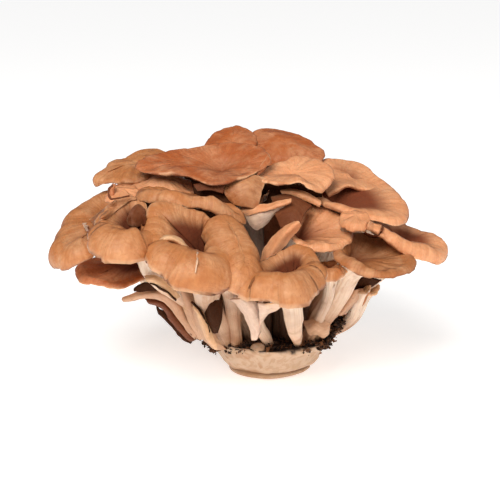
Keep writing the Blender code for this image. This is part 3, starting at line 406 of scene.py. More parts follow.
# Right side.
RIGHT_FRONDS = {
    "mid_right_funnel_frond": dict(
        finish="tan_cap", throat=(13, -14, 69), root=(8, -11), stem=(3.4, 6), steep=0.4, lift=16,
        throat_shading=0.6,
        crest=[(36, -22, 76, 3, 100), (36, -14, 79, 3, 85), (32, -8, 82, 3, 70), (26, -3, 84, 2, 50),
               (20, 1, 84, 2, 50), (15, 0, 84, 2, 50), (11, -6, 83, 2, 50), (9, -16, 80, 2, 60),
               (10, -25, 77, 2, 60), (16, -32, 75, 2.5, 95), (22, -34, 74, 2.6, 105),
               (29, -32, 74, 2.6, 108), (34, -28, 75, 2.6, 106)]),
    "right_small_frond": dict(
        finish="tan_cap", throat=(41, -20, 85), root=(36, -16, 76), stem=(2.2, 3), steep=0.15, lift=-4,
        drop=5, wave=0.5, throat_shading=0,
        crest=[(46, -20, 83, 2, 90), (45, -15, 85, 2, 70), (41, -12, 85, 2, 70), (36, -14, 85, 2, 70),
               (36, -22, 83, 2.5, 100), (40, -27, 83, 2.8, 110), (44, -25, 82, 2.5, 105)]),
    "right_cup_frond": dict(
        finish="cup_brown", throat=(37, -24, 59), root=(18.5, -15), stem=(4.6, 6), steep=0.55, lift=30,
        throat_shading=0.55,
        crest=[(66, -30, 67, 3, 105), (62, -14, 68, 2.5, 60), (54, -8, 70, 2, 50), (44, -10, 73, 2, 50),
               (37, -20, 73, 2, 70), (33, -33, 71, 3, 100), (37, -41, 70, 3.8, 114),
               (44, -46, 68, 4, 116), (53, -47, 66, 4, 116), (62, -40, 66, 3.8, 112)]),
    "small_band_frond": dict(
        throat=(29, -30, 56), root=(18, -19), stem=(2.4, 3), drop=5,
        crest=[(34, -30, 63, 3, 90), (32, -24, 63, 2, 60), (25, -24, 62, 2, 60), (23, -34, 63, 4, 95),
               (28, -38, 63, 4, 112)]),
    "far_right_frond": dict(
        finish="tan_cap", throat=(65, -6, 66), root=(20, 5), lean=0.75, steep=0.3, lift=5, wave=0.6,
        crest=[(86, -6, 66, 3.8, 100), (85, 0, 68, 3.2, 90), (81, 5, 69, 3, 80), (75, 9, 70, 2.5, 60),
               (68, 11, 72, 2.5, 60), (60, 6, 75, 2, 50), (52, -6, 80, 2, 60), (49, -15, 80, 2.4, 90),
               (52, -19, 79, 2.8, 110), (57, -20, 77, 3.2, 114), (63, -20, 74, 3.9, 115),
               (69, -20, 71, 4.8, 118), (76, -17, 69, 5.6, 118), (82, -11, 67, 4.8, 112)]),
    "right_fan_frond": dict(
        finish="tan_cap", throat=(32, 8, 79), root=(12, 4), stem=(3.6, 7), steep=0.3, lift=5, wave=0.6,
        throat_shading=1.3,
        crest=[(65, -2, 85, 4, 90), (62, 12, 88, 3, 80), (56, 26, 92, 3, 70), (48, 38, 97, 3, 70),
               (37, 45, 100, 3, 60), (28, 40, 99, 2.5, 60), (21, 18, 93, 2, 50), (25, 0, 88, 2, 50),
               (33, -9, 87, 2.5, 60), (42, -14, 85, 3, 70), (51, -17, 84, 3.5, 80), (60, -15, 83, 4, 90)]),
    "mid_right_wing_frond": dict(
        finish="tan_cap", throat=(11, 8, 99), root=(4, 1), stem=(3, 4), steep=0.1, lift=0, wave=0.6,
        throat_shading=0.1,
        crest=[(28, 10, 103, 2.5, 80), (23, 18, 105, 2.5, 70), (16, 22, 105, 2.5, 60),
               (7, 16, 104, 2, 60), (-1, 8, 102, 2, 60), (-8, 0, 100, 2, 50), (-2, -7, 99, 2, 50),
               (7, -10, 99, 2, 50), (14, -11, 100, 2, 55), (19, -10, 98, 3, 80), (23, -5, 97, 3.5, 95),
               (28, 2, 100, 3, 95)]),
}

# Top tier.
TOP_FRONDS = {
    "top_wing_frond": dict(
        finish="brown_cap", throat=(-24, 10, 100), root=(-8, 2), stem=(3.4, 5), steep=0.2, lift=8,
        throat_shading=0.3,
        crest=[(-2, 2, 107, 2, 60), (-6, 14, 111, 2, 60), (-13, 22, 112, 2, 60), (-22, 26, 112, 2.5, 60),
               (-35, 24, 109, 2.5, 60), (-48, 20, 108, 2.5, 60), (-59, 10, 107, 2.5, 70),
               (-64, 0, 106, 2.5, 90), (-61, -5, 104, 2, 60), (-53, -8, 103, 2, 50),
               (-44, -9, 103, 2, 50), (-35, -12, 101, 2, 50), (-28, -14, 100, 2, 50),
               (-19, -12, 102, 2, 50), (-12, -8, 103, 2, 50), (-6, -4, 105, 2, 60)]),
    "top_back_small_frond": dict(
        finish="brown_cap", throat=(-19, 46, 108), root=(-5, 8), stem=(2.8, 3.6), steep=0.28, lift=-6,
        wave=0.5, throat_shading=0,
        crest=[(-8, 45, 108, 2.5, 70), (-9, 55, 111, 2.5, 70), (-17, 60, 113, 3, 70),
               (-25, 58, 112, 3, 80), (-31, 48, 109, 3, 90), (-30, 40, 105, 2.5, 70),
               (-22, 33, 101, 2.5, 50), (-12, 36, 102, 2.5, 50)]),
    "top_back_right_frond": dict(
        finish="brown_cap", throat=(9, 44, 108), root=(4, 10), stem=(3, 4.4), steep=0.28, lift=-6,
        wave=0.2, throat_shading=0,
        crest=[(27, 40, 103, 2, 80), (24, 48, 106, 3, 80), (13, 58, 110, 3, 70), (1, 62, 112, 3, 70),
               (-7, 58, 111, 3, 80), (-8, 46, 106, 3, 80), (-4, 34, 101, 2.5, 60), (8, 28, 98, 2.5, 50),
               (20, 32, 99, 2.5, 60)]),
}

# Back and low outer fronds.
BACK_FRONDS = {
    "back_left_frond": dict(
        finish="brown_cap", throat=(-58, 46, 80), root=(-14, 18), stem=(3.4, 5), lift=15,
        crest=[(-42, 48, 90, 3, 70), (-48, 60, 88, 5, 80), (-62, 64, 86, 7, 100), (-76, 54, 84, 8, 110),
               (-82, 38, 84, 7, 100), (-74, 30, 88, 4, 70), (-58, 34, 92, 3, 50)]),
    "back_middle_frond": dict(
        finish="brown_cap", throat=(-18, 66, 82), root=(-4, 26), stem=(3.4, 5), lift=15,
        crest=[(-4, 66, 90, 3, 80), (-8, 78, 87, 6, 100), (-20, 84, 86, 8, 110), (-34, 80, 86, 7, 110),
               (-42, 68, 89, 5, 90), (-34, 56, 93, 3, 50), (-18, 56, 94, 3, 50)]),
    "back_right_frond": dict(
        finish="brown_cap", throat=(24, 62, 78), root=(9, 20), stem=(3.4, 5), lift=15,
        crest=[(44, 60, 84, 6, 100), (40, 74, 83, 8, 110), (27, 80, 85, 8, 110), (14, 76, 88, 6, 90),
               (8, 66, 92, 3, 60), (16, 56, 93, 3, 50), (32, 54, 90, 3, 60)]),
    "far_back_right_frond": dict(
        finish="brown_cap", throat=(50, 32, 64), root=(19, 12), lean=0.7, stem=(3.4, 5), lift=15,
        crest=[(66, 26, 69, 6, 100), (64, 40, 70, 7, 110), (54, 50, 72, 6, 100), (44, 48, 76, 4, 70),
               (38, 38, 77, 3, 50), (44, 27, 74, 3, 50), (56, 21, 71, 3, 70)]),
    "low_back_left_frond": dict(
        finish="brown_cap", throat=(-60, 30, 50), root=(-20.5, 16.5), stem=(3, 4), lift=15,
        crest=[(-51, 28, 58, 3, 70), (-54, 38, 58, 3, 60), (-65, 42, 57, 5, 90), (-75, 32, 56, 6, 100),
               (-74, 19, 57, 6, 100), (-61, 16, 58, 4, 80)]),
    "low_back_frond": dict(
        finish="brown_cap", throat=(-34, 52, 50), root=(-11, 25), stem=(3, 4), lift=15,
        crest=[(-23, 50, 61, 3, 80), (-24, 61, 58, 5, 100), (-30, 68, 58, 7, 100), (-42, 60, 59, 6, 100),
               (-46, 48, 62, 3, 70), (-34, 42, 63, 3, 50)]),
    "low_back_right_frond": dict(
        finish="brown_cap", throat=(36, 46, 44), root=(17, 20), stem=(3, 4), lift=15,
        crest=[(48, 42, 50, 5, 90), (46, 55, 49, 6, 100), (36, 58, 50, 6, 100), (26, 52, 52, 4, 90),
               (26, 42, 55, 3, 60), (36, 34, 56, 3, 50)]),
}

# Young leaves round the foot of the stems.
YOUNG_LEAVES = {
    "front_flap_leaf": dict(
        finish="cream_leaf", throat=(-8, -40, 46), root=(0, -21), stem=(2.2, 3.4), steep=0.4, lift=20,
        drop=5,
        crest=[(-2, -40, 51, 1.5, 40), (-5, -35, 52, 1.5, 40), (-11, -36, 52, 1.5, 50),
               (-14, -42, 51, 1.5, 50), (-7, -46, 50, 1.5, 40)]),
    "right_outer_leaf": dict(
        finish="cream_leaf", throat=(45, 0, 34), root=(29, 0), stem=(2.4, 3), steep=0.4, lift=10, drop=5,
        crest=[(54, -2, 43, 1.5, 50), (50, 6, 44, 1.5, 40), (44, 5, 43, 1.5, 40), (43, -3, 41, 1.5, 40),
               (48, -8, 41, 1.5, 50)]),
    "right_inner_leaf": dict(
        finish="cream_leaf", throat=(43, -12, 38), root=(27, -7), stem=(2, 2.6), steep=0.4, lift=20,
        drop=5,
        crest=[(49, -14, 47, 1.5, 50), (46, -8, 48, 1.5, 40), (41, -9, 47, 1.5, 40),
               (41, -15, 46, 1.5, 40), (45, -19, 46, 1.5, 50)]),
    "back_right_leaf": dict(
        finish="cream_leaf", throat=(44, 22, 34), root=(26, 12), stem=(2.4, 3), steep=0.4, lift=10, drop=5,
        crest=[(55, 20, 44, 1.5, 50), (51, 30, 44, 1.5, 50), (42, 30, 42, 1.5, 40),
               (40, 22, 41, 1.5, 40), (48, 15, 43, 1.5, 40)]),
}


# ---------------------------------------------------------------- shapes

def unit(vectors):
    length = np.linalg.norm(vectors, axis=-1, keepdims=True)
    return vectors / np.maximum(length, 1e-9)


def ease(share):
    share = np.clip(share, 0, 1)
    return share * share * (3 - 2 * share)


def cloud(points, size, seed):
    """Smooth random values from -1 to 1 that change over about size."""
    grid = np.random.default_rng(seed).uniform(-1, 1, (CLOUD_CELLS,) * 3)
    place = np.asarray(points, float) / size + 0.37 * seed
    cell = np.floor(place).astype(int)
    part = ease(place - cell)
    total = np.zeros(place.shape[:-1])
    for corner in itertools.product((0, 1), repeat=3):
        share = np.where(corner, part, 1 - part).prod(axis=-1)
        x, y, z = np.moveaxis((cell + corner) % CLOUD_CELLS, -1, 0)
        total += share * grid[x, y, z]
    return total


def hermite(start, start_slope, end, end_slope, t):
    """The place at t on the smooth curve from start to end that has the given slopes there."""
    return (start * (2 * t**3 - 3 * t**2 + 1) + start_slope * (t**3 - 2 * t**2 + t)
            + end * (3 * t**2 - 2 * t**3) + end_slope * (t**3 - t**2))


def closed_curve(points, count):
    """count points, evenly spaced along the smooth closed curve that runs through the given ones."""
    points = np.asarray(points, float)
    steps = np.linspace(0, 1, 24, endpoint=False)[:, None]
    dense = []
    for i in range(len(points)):
        before, here, after, beyond = (points[(i + k) % len(points)] for k in (-1, 0, 1, 2))
        slope_here, slope_after = (after - before) / 2, (beyond - here) / 2
        dense.append(hermite(here, slope_here, after, slope_after, steps))
    dense = np.concatenate(dense)
    closed = np.vstack([dense, dense[:1]])
    run = np.concatenate([[0], np.cumsum(np.linalg.norm(np.diff(closed[:, :3], axis=0), axis=1))])
    wanted = np.linspace(0, run[-1], count, endpoint=False)
    return np.stack([np.interp(wanted, run, closed[:, k]) for k in range(closed.shape[1])], axis=1)


def bezier(a, b, c, d, t):
    """The point and the direction at t on a cubic curve."""
    point = a * (1 - t)**3 + 3 * b * t * (1 - t)**2 + 3 * c * t * t * (1 - t) + d * t**3
    slope = (b - a) * (1 - t)**2 + 2 * (c - b) * t * (1 - t) + (d - c) * t * t
    return point, unit(slope)


def frond_rings(seed, throat, crest, root, stem, lift, steep, drop, lean, fill, wave):
    """Rings over a frond's skin, from throat to root, and the number of the ring at its rim."""
    throat = np.array(throat, float)
    girth = np.linalg.norm(np.diff(np.array([*crest, crest[0]])[:, :3], axis=0), axis=1).sum()
    sides = int(np.clip(girth / SIDE_LENGTH, LEAST_SIDES, MOST_SIDES)) // 2 * 2
    root = np.array(root if len(root) == 3 else (*root, PLATEAU_Z - STEM_SINK), float)
    loop = closed_curve(crest, sides)
    crest_at, curl, turn = loop[:, :3], loop[:, 3:4], np.radians(loop[:, 4:5])
    middle = crest_at.mean(0)
    up = unit(np.cross(crest_at - middle, np.roll(crest_at, -1, 0) - middle).sum(0))

    def margin_ways():
        along = unit(np.roll(crest_at, -1, 0) - np.roll(crest_at, 1, 0))
        radial = crest_at - middle
        flat = radial - (radial @ up)[:, None] * up
        return along, unit(0.7 * unit(np.cross(along, up)) + 0.3 * unit(flat))

    along, outward = margin_ways()
    sweep = np.arange(sides) * 2 * math.pi / sides
    around = np.stack([np.cos(sweep), np.sin(sweep), 0 * sweep], axis=1)
    # Broad waves of the margin, and the small ripples on them.
    crest_at = crest_at + wave * (outward * cloud(around, 0.55, seed)[:, None] * 1.2
                                  + up * cloud(around, 0.5, seed + 1)[:, None] * 1.3
                                  + outward * cloud(around, 0.17, seed + 2)[:, None] * 0.8
                                  + up * cloud(around, 0.12, seed + 5)[:, None] * 0.4)
    along, outward = margin_ways()
    turn = turn * (1 + 0.1 * cloud(around, 0.4, seed + 3) + 0.05 * cloud(around, 0.11, seed + 6))[:, None]
    curl = curl * (1 + 0.15 * cloud(around, 0.35, seed + 4) + 0.05 * cloud(around, 0.1, seed + 7))[:, None]

    axis = unit(0.5 * up + 0.5 * unit(throat - root))
    tilt = math.radians(lift)
    crest_way = outward * math.cos(tilt) + up * math.sin(tilt)
    crest_up = up * math.cos(tilt) - outward * math.sin(tilt)
    span = np.linalg.norm(crest_at - throat, axis=1, keepdims=True)
    near = throat + 0.4 * span * unit((1 - steep) * (crest_at - throat) / span + steep * axis)
    far = crest_at - 0.35 * span * crest_way
    centre = crest_at - crest_up * curl
    margin = np.minimum(MARGIN_THICKNESS, 0.6 * curl)

    def rolled(share, thickness):
        angle = turn * share
        return centre + (crest_up * np.cos(angle) + crest_way * np.sin(angle)) * (curl - thickness)

    rings = [bezier(throat, near, far, crest_at, t)[0] for t in np.linspace(0.03, 1, TOP_BANDS)]
    rings += [rolled(share, 0) for share in np.linspace(0, 1, CURL_BANDS)[1:]]
    rim = len(rings) - 1

    # The neck's ring, with spokes that follow the crest's bearings.
    neck = throat - axis * drop
    sideways = unit(np.cross(axis, [0, 1, 0] if abs(axis[1]) < 0.9 else [1, 0, 0]))
    ahead = np.cross(axis, sideways)
    actual = np.unwrap(np.arctan2((crest_at - throat) @ ahead, (crest_at - throat) @ sideways))
    even = np.arange(sides) * math.copysign(2 * math.pi / sides, actual[-1] - actual[0])
    angle = 0.3 * (actual - actual.mean()) + 0.7 * (even - even.mean()) + actual.mean()
    spoke = np.cos(angle)[:, None] * sideways + np.sin(angle)[:, None] * ahead
    length = np.linalg.norm(neck - root)
    rise = unit(lean * np.array([0, 0, 1.0]) + (1 - lean) * unit(neck - root))

    def stem_ring(t):
        centre_line, down = bezier(neck, neck - axis * 0.35 * length, root + rise * 0.35 * length, root, t)
        radius = stem[1] + (stem[0] - stem[1]) * t
        return centre_line + unit(spoke - (spoke @ down)[:, None] * down) * radius

    # Underneath, a skin that follows the cap is blended with a cone that joins margin and stem directly.
    back_bands = CURL_BANDS // 2
    lip, collar = rolled(1, margin), stem_ring(0)
    reach = np.linalg.norm(lip - collar, axis=1, keepdims=True)
    shares = np.linspace(0, 1, back_bands + UNDER_BANDS, endpoint=False)
    for i, share in enumerate(shares):
        if i < back_bands:
            sheet = rolled(1 - i / back_bands, margin)
        else:
            t = 1 - 0.75 * (i - back_bands) / UNDER_BANDS
            point, slope = bezier(throat, near, far, crest_at, t)
            thickness = margin + (NECK_THICKNESS - margin) * (1 - t)
            wall = np.minimum(thickness, margin + 0.25 * span * (1 - t))
            sheet = point - unit(np.cross(slope, along)) * wall
        cone = bezier(lip, lip - 0.2 * reach * crest_way, collar + 0.45 * reach * axis, collar, share)[0]
        rings.append(sheet + (cone - sheet) * fill * ease(share * 5))
    rings += [stem_ring(t) for t in np.linspace(0, 1, STEM_BANDS)]
    return throat, np.array(rings), root, rim


def wrap_ball(name, skin):
    """A closed mesh: a ball whose parallels take the places in skin, row by row from pole to pole."""
    bands, sides = skin.shape[0] - 1, skin.shape[1]
    ball = bmesh.new()
    bmesh.ops.create_uvsphere(ball, u_segments=sides, v_segments=bands, radius=1)
    mesh = bpy.data.meshes.new(name)
    ball.to_mesh(mesh)
    ball.free()
    at = np.empty(len(mesh.vertices) * 3)
    mesh.vertices.foreach_get("co", at)
    x, y, z = at.reshape(-1, 3).T
    band = np.rint(np.arccos(np.clip(z, -1, 1)) / math.pi * bands).astype(int)
    side = np.rint(np.arctan2(y, x) / (2 * math.pi) * sides).astype(int) % sides
    mesh.vertices.foreach_set("co", (skin[band, side] * MM).ravel())
    return mesh, band, side


def keep_layer(mesh, name, values):
    """Store a value for each vertex, for the materials to read."""
    kind, field = ("FLOAT_VECTOR", "vector") if values.ndim == 2 else ("FLOAT", "value")
    layer = mesh.attributes.new(name, kind, "POINT")
    layer.data.foreach_set(field, np.ascontiguousarray(values, np.float32).ravel())


def frond_mesh(name, seed, shape):
    """One frond's closed mesh, with its wrinkles, and the layers that its material reads."""
    dents, throat_shading = shape.pop("dents"), shape.pop("throat_shading")
    throat, rings, root, rim = frond_rings(seed, **shape)
    sides = rings.shape[1]
    skin = np.concatenate([np.tile(throat, (1, sides, 1)), rings, np.tile(root, (1, sides, 1))])
    rim += 1
    step = np.linalg.norm(np.diff(skin, axis=0), axis=2)
    run = np.concatenate([np.zeros((1, sides)), np.cumsum(step, axis=0)])
    past_rim = run - run[rim]
    cap = 1 - ease((past_rim + 0.2) / 0.9)
    edge = np.exp(-(past_rim / 0.7)**2)
    crest_run = run[TOP_BANDS]
    # How much painted shade the throat takes at each point.
    depth = throat_shading * np.where(run < crest_run, 1 - run / crest_run, 0)
    below = np.where(past_rim > 0, past_rim / past_rim[-1], np.minimum(run / crest_run - 1, 0))
    sweep = np.arange(sides) * 2 * math.pi / sides
    grain = np.stack([2.5 * np.cos(sweep) + 0 * run, 2.5 * np.sin(sweep) + 0 * run, run / 10], axis=2)

    down = unit(np.gradient(skin, axis=0))
    normal = unit(np.cross(down, np.roll(skin, -1, 1) - np.roll(skin, 1, 1)))
    calm = ease(np.minimum(run, run[-1] - run) / 6)
    near_crest = ease(1.3 - np.abs(run - crest_run) / 14)
    lift = 0.8 * cloud(skin, 12, seed) + 0.32 * cloud(skin, 5, seed + 1)
    lift += 0.24 * near_crest * cap * cloud(grain * (4.5, 4.5, 0.5), 1, seed + 2)
    lift += 0.18 * near_crest * cap * cloud(grain * (0.8, 0.8, 5), 1, seed + 3)
    lift += 0.3 * (1 - cap) * cloud(grain * (3.4, 3.4, 0.22), 1, seed + 4)
    skin = skin + normal * (lift * calm)[:, :, None]
    for place, size, push in dents:
        far = np.linalg.norm(skin - np.array(place), axis=2)
        skin = skin + np.exp(-(far / size)**2)[:, :, None] * np.array(push) * (cap > 0.5)[:, :, None]

    mesh, band, side = wrap_ball(name, skin)
    keep_layer(mesh, "grain", grain[band, side])
    keep_layer(mesh, "zone", np.stack([cap, edge, depth], axis=2)[band, side])
    keep_layer(mesh, "below", below[band, side])
    mesh.shade_smooth()
    return mesh


def add_piece(name, mesh, finish, replaced=()):
    """Link a finished piece, make it ride on the cluster's body and hide the solids that it replaces."""
    mesh.materials.append(finish_material(finish))
    piece = bpy.data.objects.new(name, mesh)
    bpy.context.scene.collection.objects.link(piece)
    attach(piece, "root")
    if replaced:
        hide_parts(*replaced)
    return piece


def add_fronds(table):
    for order, (name, habit) in enumerate(table.items()):
        shape = {**FROND_HABIT, **habit}
        finish = shape.pop("finish")
        node = ("leaf_" if name.endswith("leaf") else "frond_") + name.rsplit("_", 1)[0]
        seed = sum(map(ord, name)) % 997 + order
        add_piece(name, frond_mesh(name, seed, shape), finish, [node])


# ---------------------------------------------------------------- materials

def add_node(tree, kind, inputs=(), **settings):
    """A node with its settings made and its inputs filled with values or joined to sockets."""
    node = tree.nodes.new(kind)
    for key, value in settings.items():
        setattr(node, key, value)
    for key, value in dict(inputs).items():
        socket = node.inputs[key]
        if isinstance(value, bpy.types.NodeSocket):
            tree.links.new(value, socket)
        else:
            socket.default_value = value
    return node


def mixed(tree, share, first, second):
    """A colour that goes from first to second as share goes from 0 to 1."""
    inputs = {0: share, 6: first, 7: second}
    return add_node(tree, "ShaderNodeMix", inputs, data_type="RGBA").outputs[2]


def worked(tree, operation, *values):
    node = add_node(tree, "ShaderNodeMath", dict(enumerate(values)), operation=operation)
    return node.outputs[0]


def times(tree, value, factor):
    return worked(tree, "MULTIPLY", value, factor)


def ranged(tree, value, low, high, least=0.0, most=1.0):
    """value taken from low..high to least..most, eased at both ends."""
    inputs = {0: value, 1: low, 2: high, 3: least, 4: most}
    return add_node(tree, "ShaderNodeMapRange", inputs, interpolation_type="SMOOTHSTEP").outputs[0]


def start_group(name, inputs, outputs):
    """An empty shader group with the named sockets: (name, socket kind, default)."""
    tree = bpy.data.node_groups.new(name, "ShaderNodeTree")
    for label, kind, default in inputs:
        socket = tree.interface.new_socket(label, in_out="INPUT", socket_type=kind)
        socket.default_value = default
    for label, kind in outputs:
        tree.interface.new_socket(label, in_out="OUTPUT", socket_type=kind)
    return tree, tree.nodes.new("NodeGroupInput"), tree.nodes.new("NodeGroupOutput")


def use_group(tree, make, inputs=()):
    """Place a shared group, which is made the first time."""
    found = bpy.data.node_groups.get(make.__name__) or make()
    node = tree.nodes.new("ShaderNodeGroup")
    node.node_tree = found
    for key, value in dict(inputs).items():
        if isinstance(value, bpy.types.NodeSocket):
            tree.links.new(value, node.inputs[key])
        else:
            node.inputs[key].default_value = value
    return node


def fibre_grain():
    """Fine streaks that run from the throat to the rim and down the stem."""
    tree, given, out = start_group("fibre_grain", [
        ("Across", "NodeSocketFloat", 12.0), ("Along", "NodeSocketFloat", 1.2),
        ("Detail", "NodeSocketFloat", 3.0),
    ], [("Fibres", "NodeSocketFloat")])
    grain = add_node(tree, "ShaderNodeAttribute", attribute_name="grain").outputs["Vector"]
    across, along = given.outputs["Across"], given.outputs["Along"]
    stretch = add_node(tree, "ShaderNodeCombineXYZ", {"X": across, "Y": across, "Z": along}).outputs[0]
    place = add_node(tree, "ShaderNodeVectorMath", {0: grain, 1: stretch}, operation="MULTIPLY").outputs[0]
    noise = add_node(tree, "ShaderNodeTexNoise",
                     {"Vector": place, "Scale": 1.0, "Detail": given.outputs["Detail"], "Roughness": 0.6})
    tree.links.new(noise.outputs[0], out.inputs["Fibres"])
    return tree


def soft_patches():
    """Soft-edged patches of a given size in millimetres, as a mask."""
    tree, given, out = start_group("soft_patches", [
        ("Size", "NodeSocketFloat", 12.0), ("Low", "NodeSocketFloat", 0.4), ("High", "NodeSocketFloat", 0.6),
        ("Warp", "NodeSocketFloat", 0.5), ("Shift", "NodeSocketFloat", 0.0),
    ], [("Mask", "NodeSocketFloat")])
    place = add_node(tree, "ShaderNodeTexCoord").outputs["Object"]
    shift = given.outputs["Shift"]
    moved = add_node(tree, "ShaderNodeVectorMath", {0: place, 1: shift}, operation="ADD").outputs[0]
    scale = worked(tree, "DIVIDE", 1 / MM, given.outputs["Size"])
    noise = add_node(tree, "ShaderNodeTexNoise",
                     {"Vector": moved, "Scale": scale, "Detail": 3.0, "Distortion": given.outputs["Warp"]})
    low, high = given.outputs["Low"], given.outputs["High"]
    tree.links.new(ranged(tree, noise.outputs[0], low, high), out.inputs["Mask"])
    return tree


def frond_zones():
    """Where a point lies on its frond: on the cap, at the rim, down the throat, or down the stem."""
    tree, given, out = start_group("frond_zones", [], [
        ("Cap", "NodeSocketFloat"), ("Rim", "NodeSocketFloat"), ("Throat", "NodeSocketFloat"),
        ("Below", "NodeSocketFloat"),
    ])
    zone = add_node(tree, "ShaderNodeAttribute", attribute_name="zone").outputs["Vector"]
    parts = add_node(tree, "ShaderNodeSeparateXYZ", {0: zone}).outputs
    below = add_node(tree, "ShaderNodeAttribute", attribute_name="below").outputs["Fac"]
    for label, value in zip(("Cap", "Rim", "Throat", "Below"), (*parts, below)):
        tree.links.new(value, out.inputs[label])
    return tree


def patch_mask(tree, size, low, high, warp=0.5, shift=0.0):
    """Soft-edged patches about size millimetres across, where the noise passes from low to high."""
    inputs = {"Size": size, "Low": low, "High": high, "Warp": warp, "Shift": shift}
    return use_group(tree, soft_patches, inputs).outputs[0]


def fibre_mask(tree, across, along, detail):
    """Streaks along the grain."""
    return use_group(tree, fibre_grain, {"Across": across, "Along": along, "Detail": detail}).outputs[0]


def start_material(name, roughness, subsurface):
    material = bpy.data.materials.new(f"{name}_skin")
    material.use_nodes = True
    shader = material.node_tree.nodes["Principled BSDF"]
    shader.inputs["Roughness"].default_value = roughness
    shader.inputs["Specular IOR Level"].default_value = WAX_SPECULAR
    shader.inputs["Subsurface Weight"].default_value = subsurface
    shader.inputs["Subsurface Radius"].default_value = FLESH_SCATTER
    shader.inputs["Subsurface Scale"].default_value = SCATTER_DEPTH * MM
    return material, material.node_tree, shader


def colour(values):
    return (*values, 1.0)


def frond_material(name):
    """A waxy cap with painted shade down its throat and where it turns edge-on, over white flesh with beige
    stains and painted shade on the lower stems, between the ribs and between the stems; its rim is pale or
    worn.
    """
    look = bpy.context.scene.maitake_colours
    main = np.array(getattr(look, name))
    light = main + (np.array(look.rim) - main) * 0.36 * min(1, main[0] * 2) ** 2
    # deep: near-black red-brown, used as painted shade down the throats and as the colour of the small
    # specks.
    deep = main * (0.2, 0.085, 0.05)
    material, tree, shader = start_material(name, 0.5, 0.12)
    shader.inputs["Specular IOR Level"].default_value = WAX_SPECULAR * min(1, main[0] * 2)
    zones = use_group(tree, frond_zones).outputs
    fine = fibre_mask(tree, 9.0, 0.9, 4.0)
    broad = fibre_mask(tree, 2.6, 0.45, 2.0)
    creases = fibre_mask(tree, 1.4, 9.0, 3.0)
    patches = patch_mask(tree, 17.0, 0.36, 0.66, warp=0.8)
    blotches = patch_mask(tree, 6.0, 0.5, 0.72, shift=3.1)
    specks = patch_mask(tree, 1.5, 0.66, 0.75, shift=5.7)

    top = mixed(tree, patches, colour(main), colour(light))
    top = mixed(tree, times(tree, blotches, 0.35), top, colour(main * 0.8))
    fibres = worked(tree, "ADD", times(tree, fine, 0.55), times(tree, broad, 0.45))
    by_margin = ranged(tree, zones["Below"], -0.8, -0.15)
    streak = times(tree, ranged(tree, fibres, 0.64, 0.34, 0.0, 0.55), by_margin)
    mottle = patch_mask(tree, 2.6, 0.34, 0.66, shift=7.3)
    top = mixed(tree, streak, top, colour(main * (0.66, 0.52, 0.42)))
    top = mixed(tree, times(tree, mottle, 0.3), top, colour(main * (0.72, 0.6, 0.5)))
    # Painted shade down the throat.
    throat_shade = ranged(tree, zones["Throat"], 0.08, 0.55, 0.0, 0.95)
    top = mixed(tree, throat_shade, top, colour(deep))
    top = mixed(tree, times(tree, specks, 0.35), top, colour(deep))
    # Painted shade: the skin darkens where it turns edge-on to the view.
    facing = add_node(tree, "ShaderNodeLayerWeight", {"Blend": 0.5}).outputs["Facing"]
    top = mixed(tree, ranged(tree, facing, 0.62, 1.0, 0.0, 0.75), top, colour(main * (0.42, 0.3, 0.24)))

    stains = patch_mask(tree, 9.0, 0.5, 0.74, shift=1.3)
    # Painted shade in the grooves between the ribs of the stems.
    ribs = ranged(tree, broad, 0.3, 0.7, 0.35, 0.9)
    under = mixed(tree, ribs, colour(look.flesh_shade), colour(look.flesh))
    under = mixed(tree, times(tree, stains, 0.55), under, colour(look.stain))
    # Painted shade on the lower stems, which stand in the shadow of the caps; aged picks in patches how dark
    # it is.
    aged = patch_mask(tree, 26.0, 0.4, 0.6, shift=4.4)
    stem = mixed(tree, aged, colour(look.stem), colour(look.flesh_shade))
    under = mixed(tree, ranged(tree, zones["Below"], 0.3, 0.75), under, stem)
    low_stem = ranged(tree, zones["Below"], 0.72, 1.0, 0.0, 0.6)
    under = mixed(tree, times(tree, low_stem, ranged(tree, broad, 0.3, 0.6)), under,
                  colour(look.stain))
    # Painted shade: the flesh darkens between the stems and up under the top caps.
    under = mixed(tree, inner_shade(tree), under, colour(look.inner_flesh))

    whole = mixed(tree, zones["Cap"], under, top)
    worn = patch_mask(tree, 14.0, 0.44, 0.56, shift=9.1)
    rim_tone = np.array(look.rim) * min(1, 2.2 * main[0])**2
    edging = mixed(tree, worn, colour(rim_tone), colour(main * (0.3, 0.22, 0.2)))
    whole = mixed(tree, times(tree, zones["Rim"], 0.55), whole, edging)
    tree.links.new(whole, shader.inputs["Base Color"])
    gloss = ranged(tree, fine, 0.2, 0.8, 0.42, 0.6)
    gloss = worked(tree, "MAXIMUM", gloss, ranged(tree, zones["Throat"], 0.15, 0.5, 0.4, 0.95))
    tree.links.new(gloss, shader.inputs["Roughness"])

    height = worked(tree, "ADD", times(tree, fine, 0.5), times(tree, creases, 0.4))
    height = times(tree, height, worked(tree, "MAXIMUM", by_margin, 0.15))
    height = worked(tree, "ADD", height, times(tree, blotches, 0.15))
    height = worked(tree, "ADD", height, times(tree, mottle, 0.3))
    bump = add_node(tree, "ShaderNodeBump", {"Strength": 0.7, "Distance": 0.7 * MM, "Height": height})
    tree.links.new(bump.outputs[0], shader.inputs["Normal"])
    return material


def inner_shade(tree):
    """How far a point lies up under the top caps or in between the stems: a mask for the painted shade that
    darkens the flesh there.
    """
    place = add_node(tree, "ShaderNodeTexCoord").outputs["Object"]
    parts = add_node(tree, "ShaderNodeSeparateXYZ", {0: place}).outputs
    flat = add_node(tree, "ShaderNodeCombineXYZ", {"X": parts["X"], "Y": parts["Y"]}).outputs[0]
    out = add_node(tree, "ShaderNodeVectorMath", {0: flat}, operation="LENGTH").outputs["Value"]
    between = ranged(tree, out, 16 * MM, 27 * MM, 0.85, 0.0)
    high = ranged(tree, parts["Z"], 66 * MM, 86 * MM, 0.0, 0.8)
    return worked(tree, "MAXIMUM", between, high)


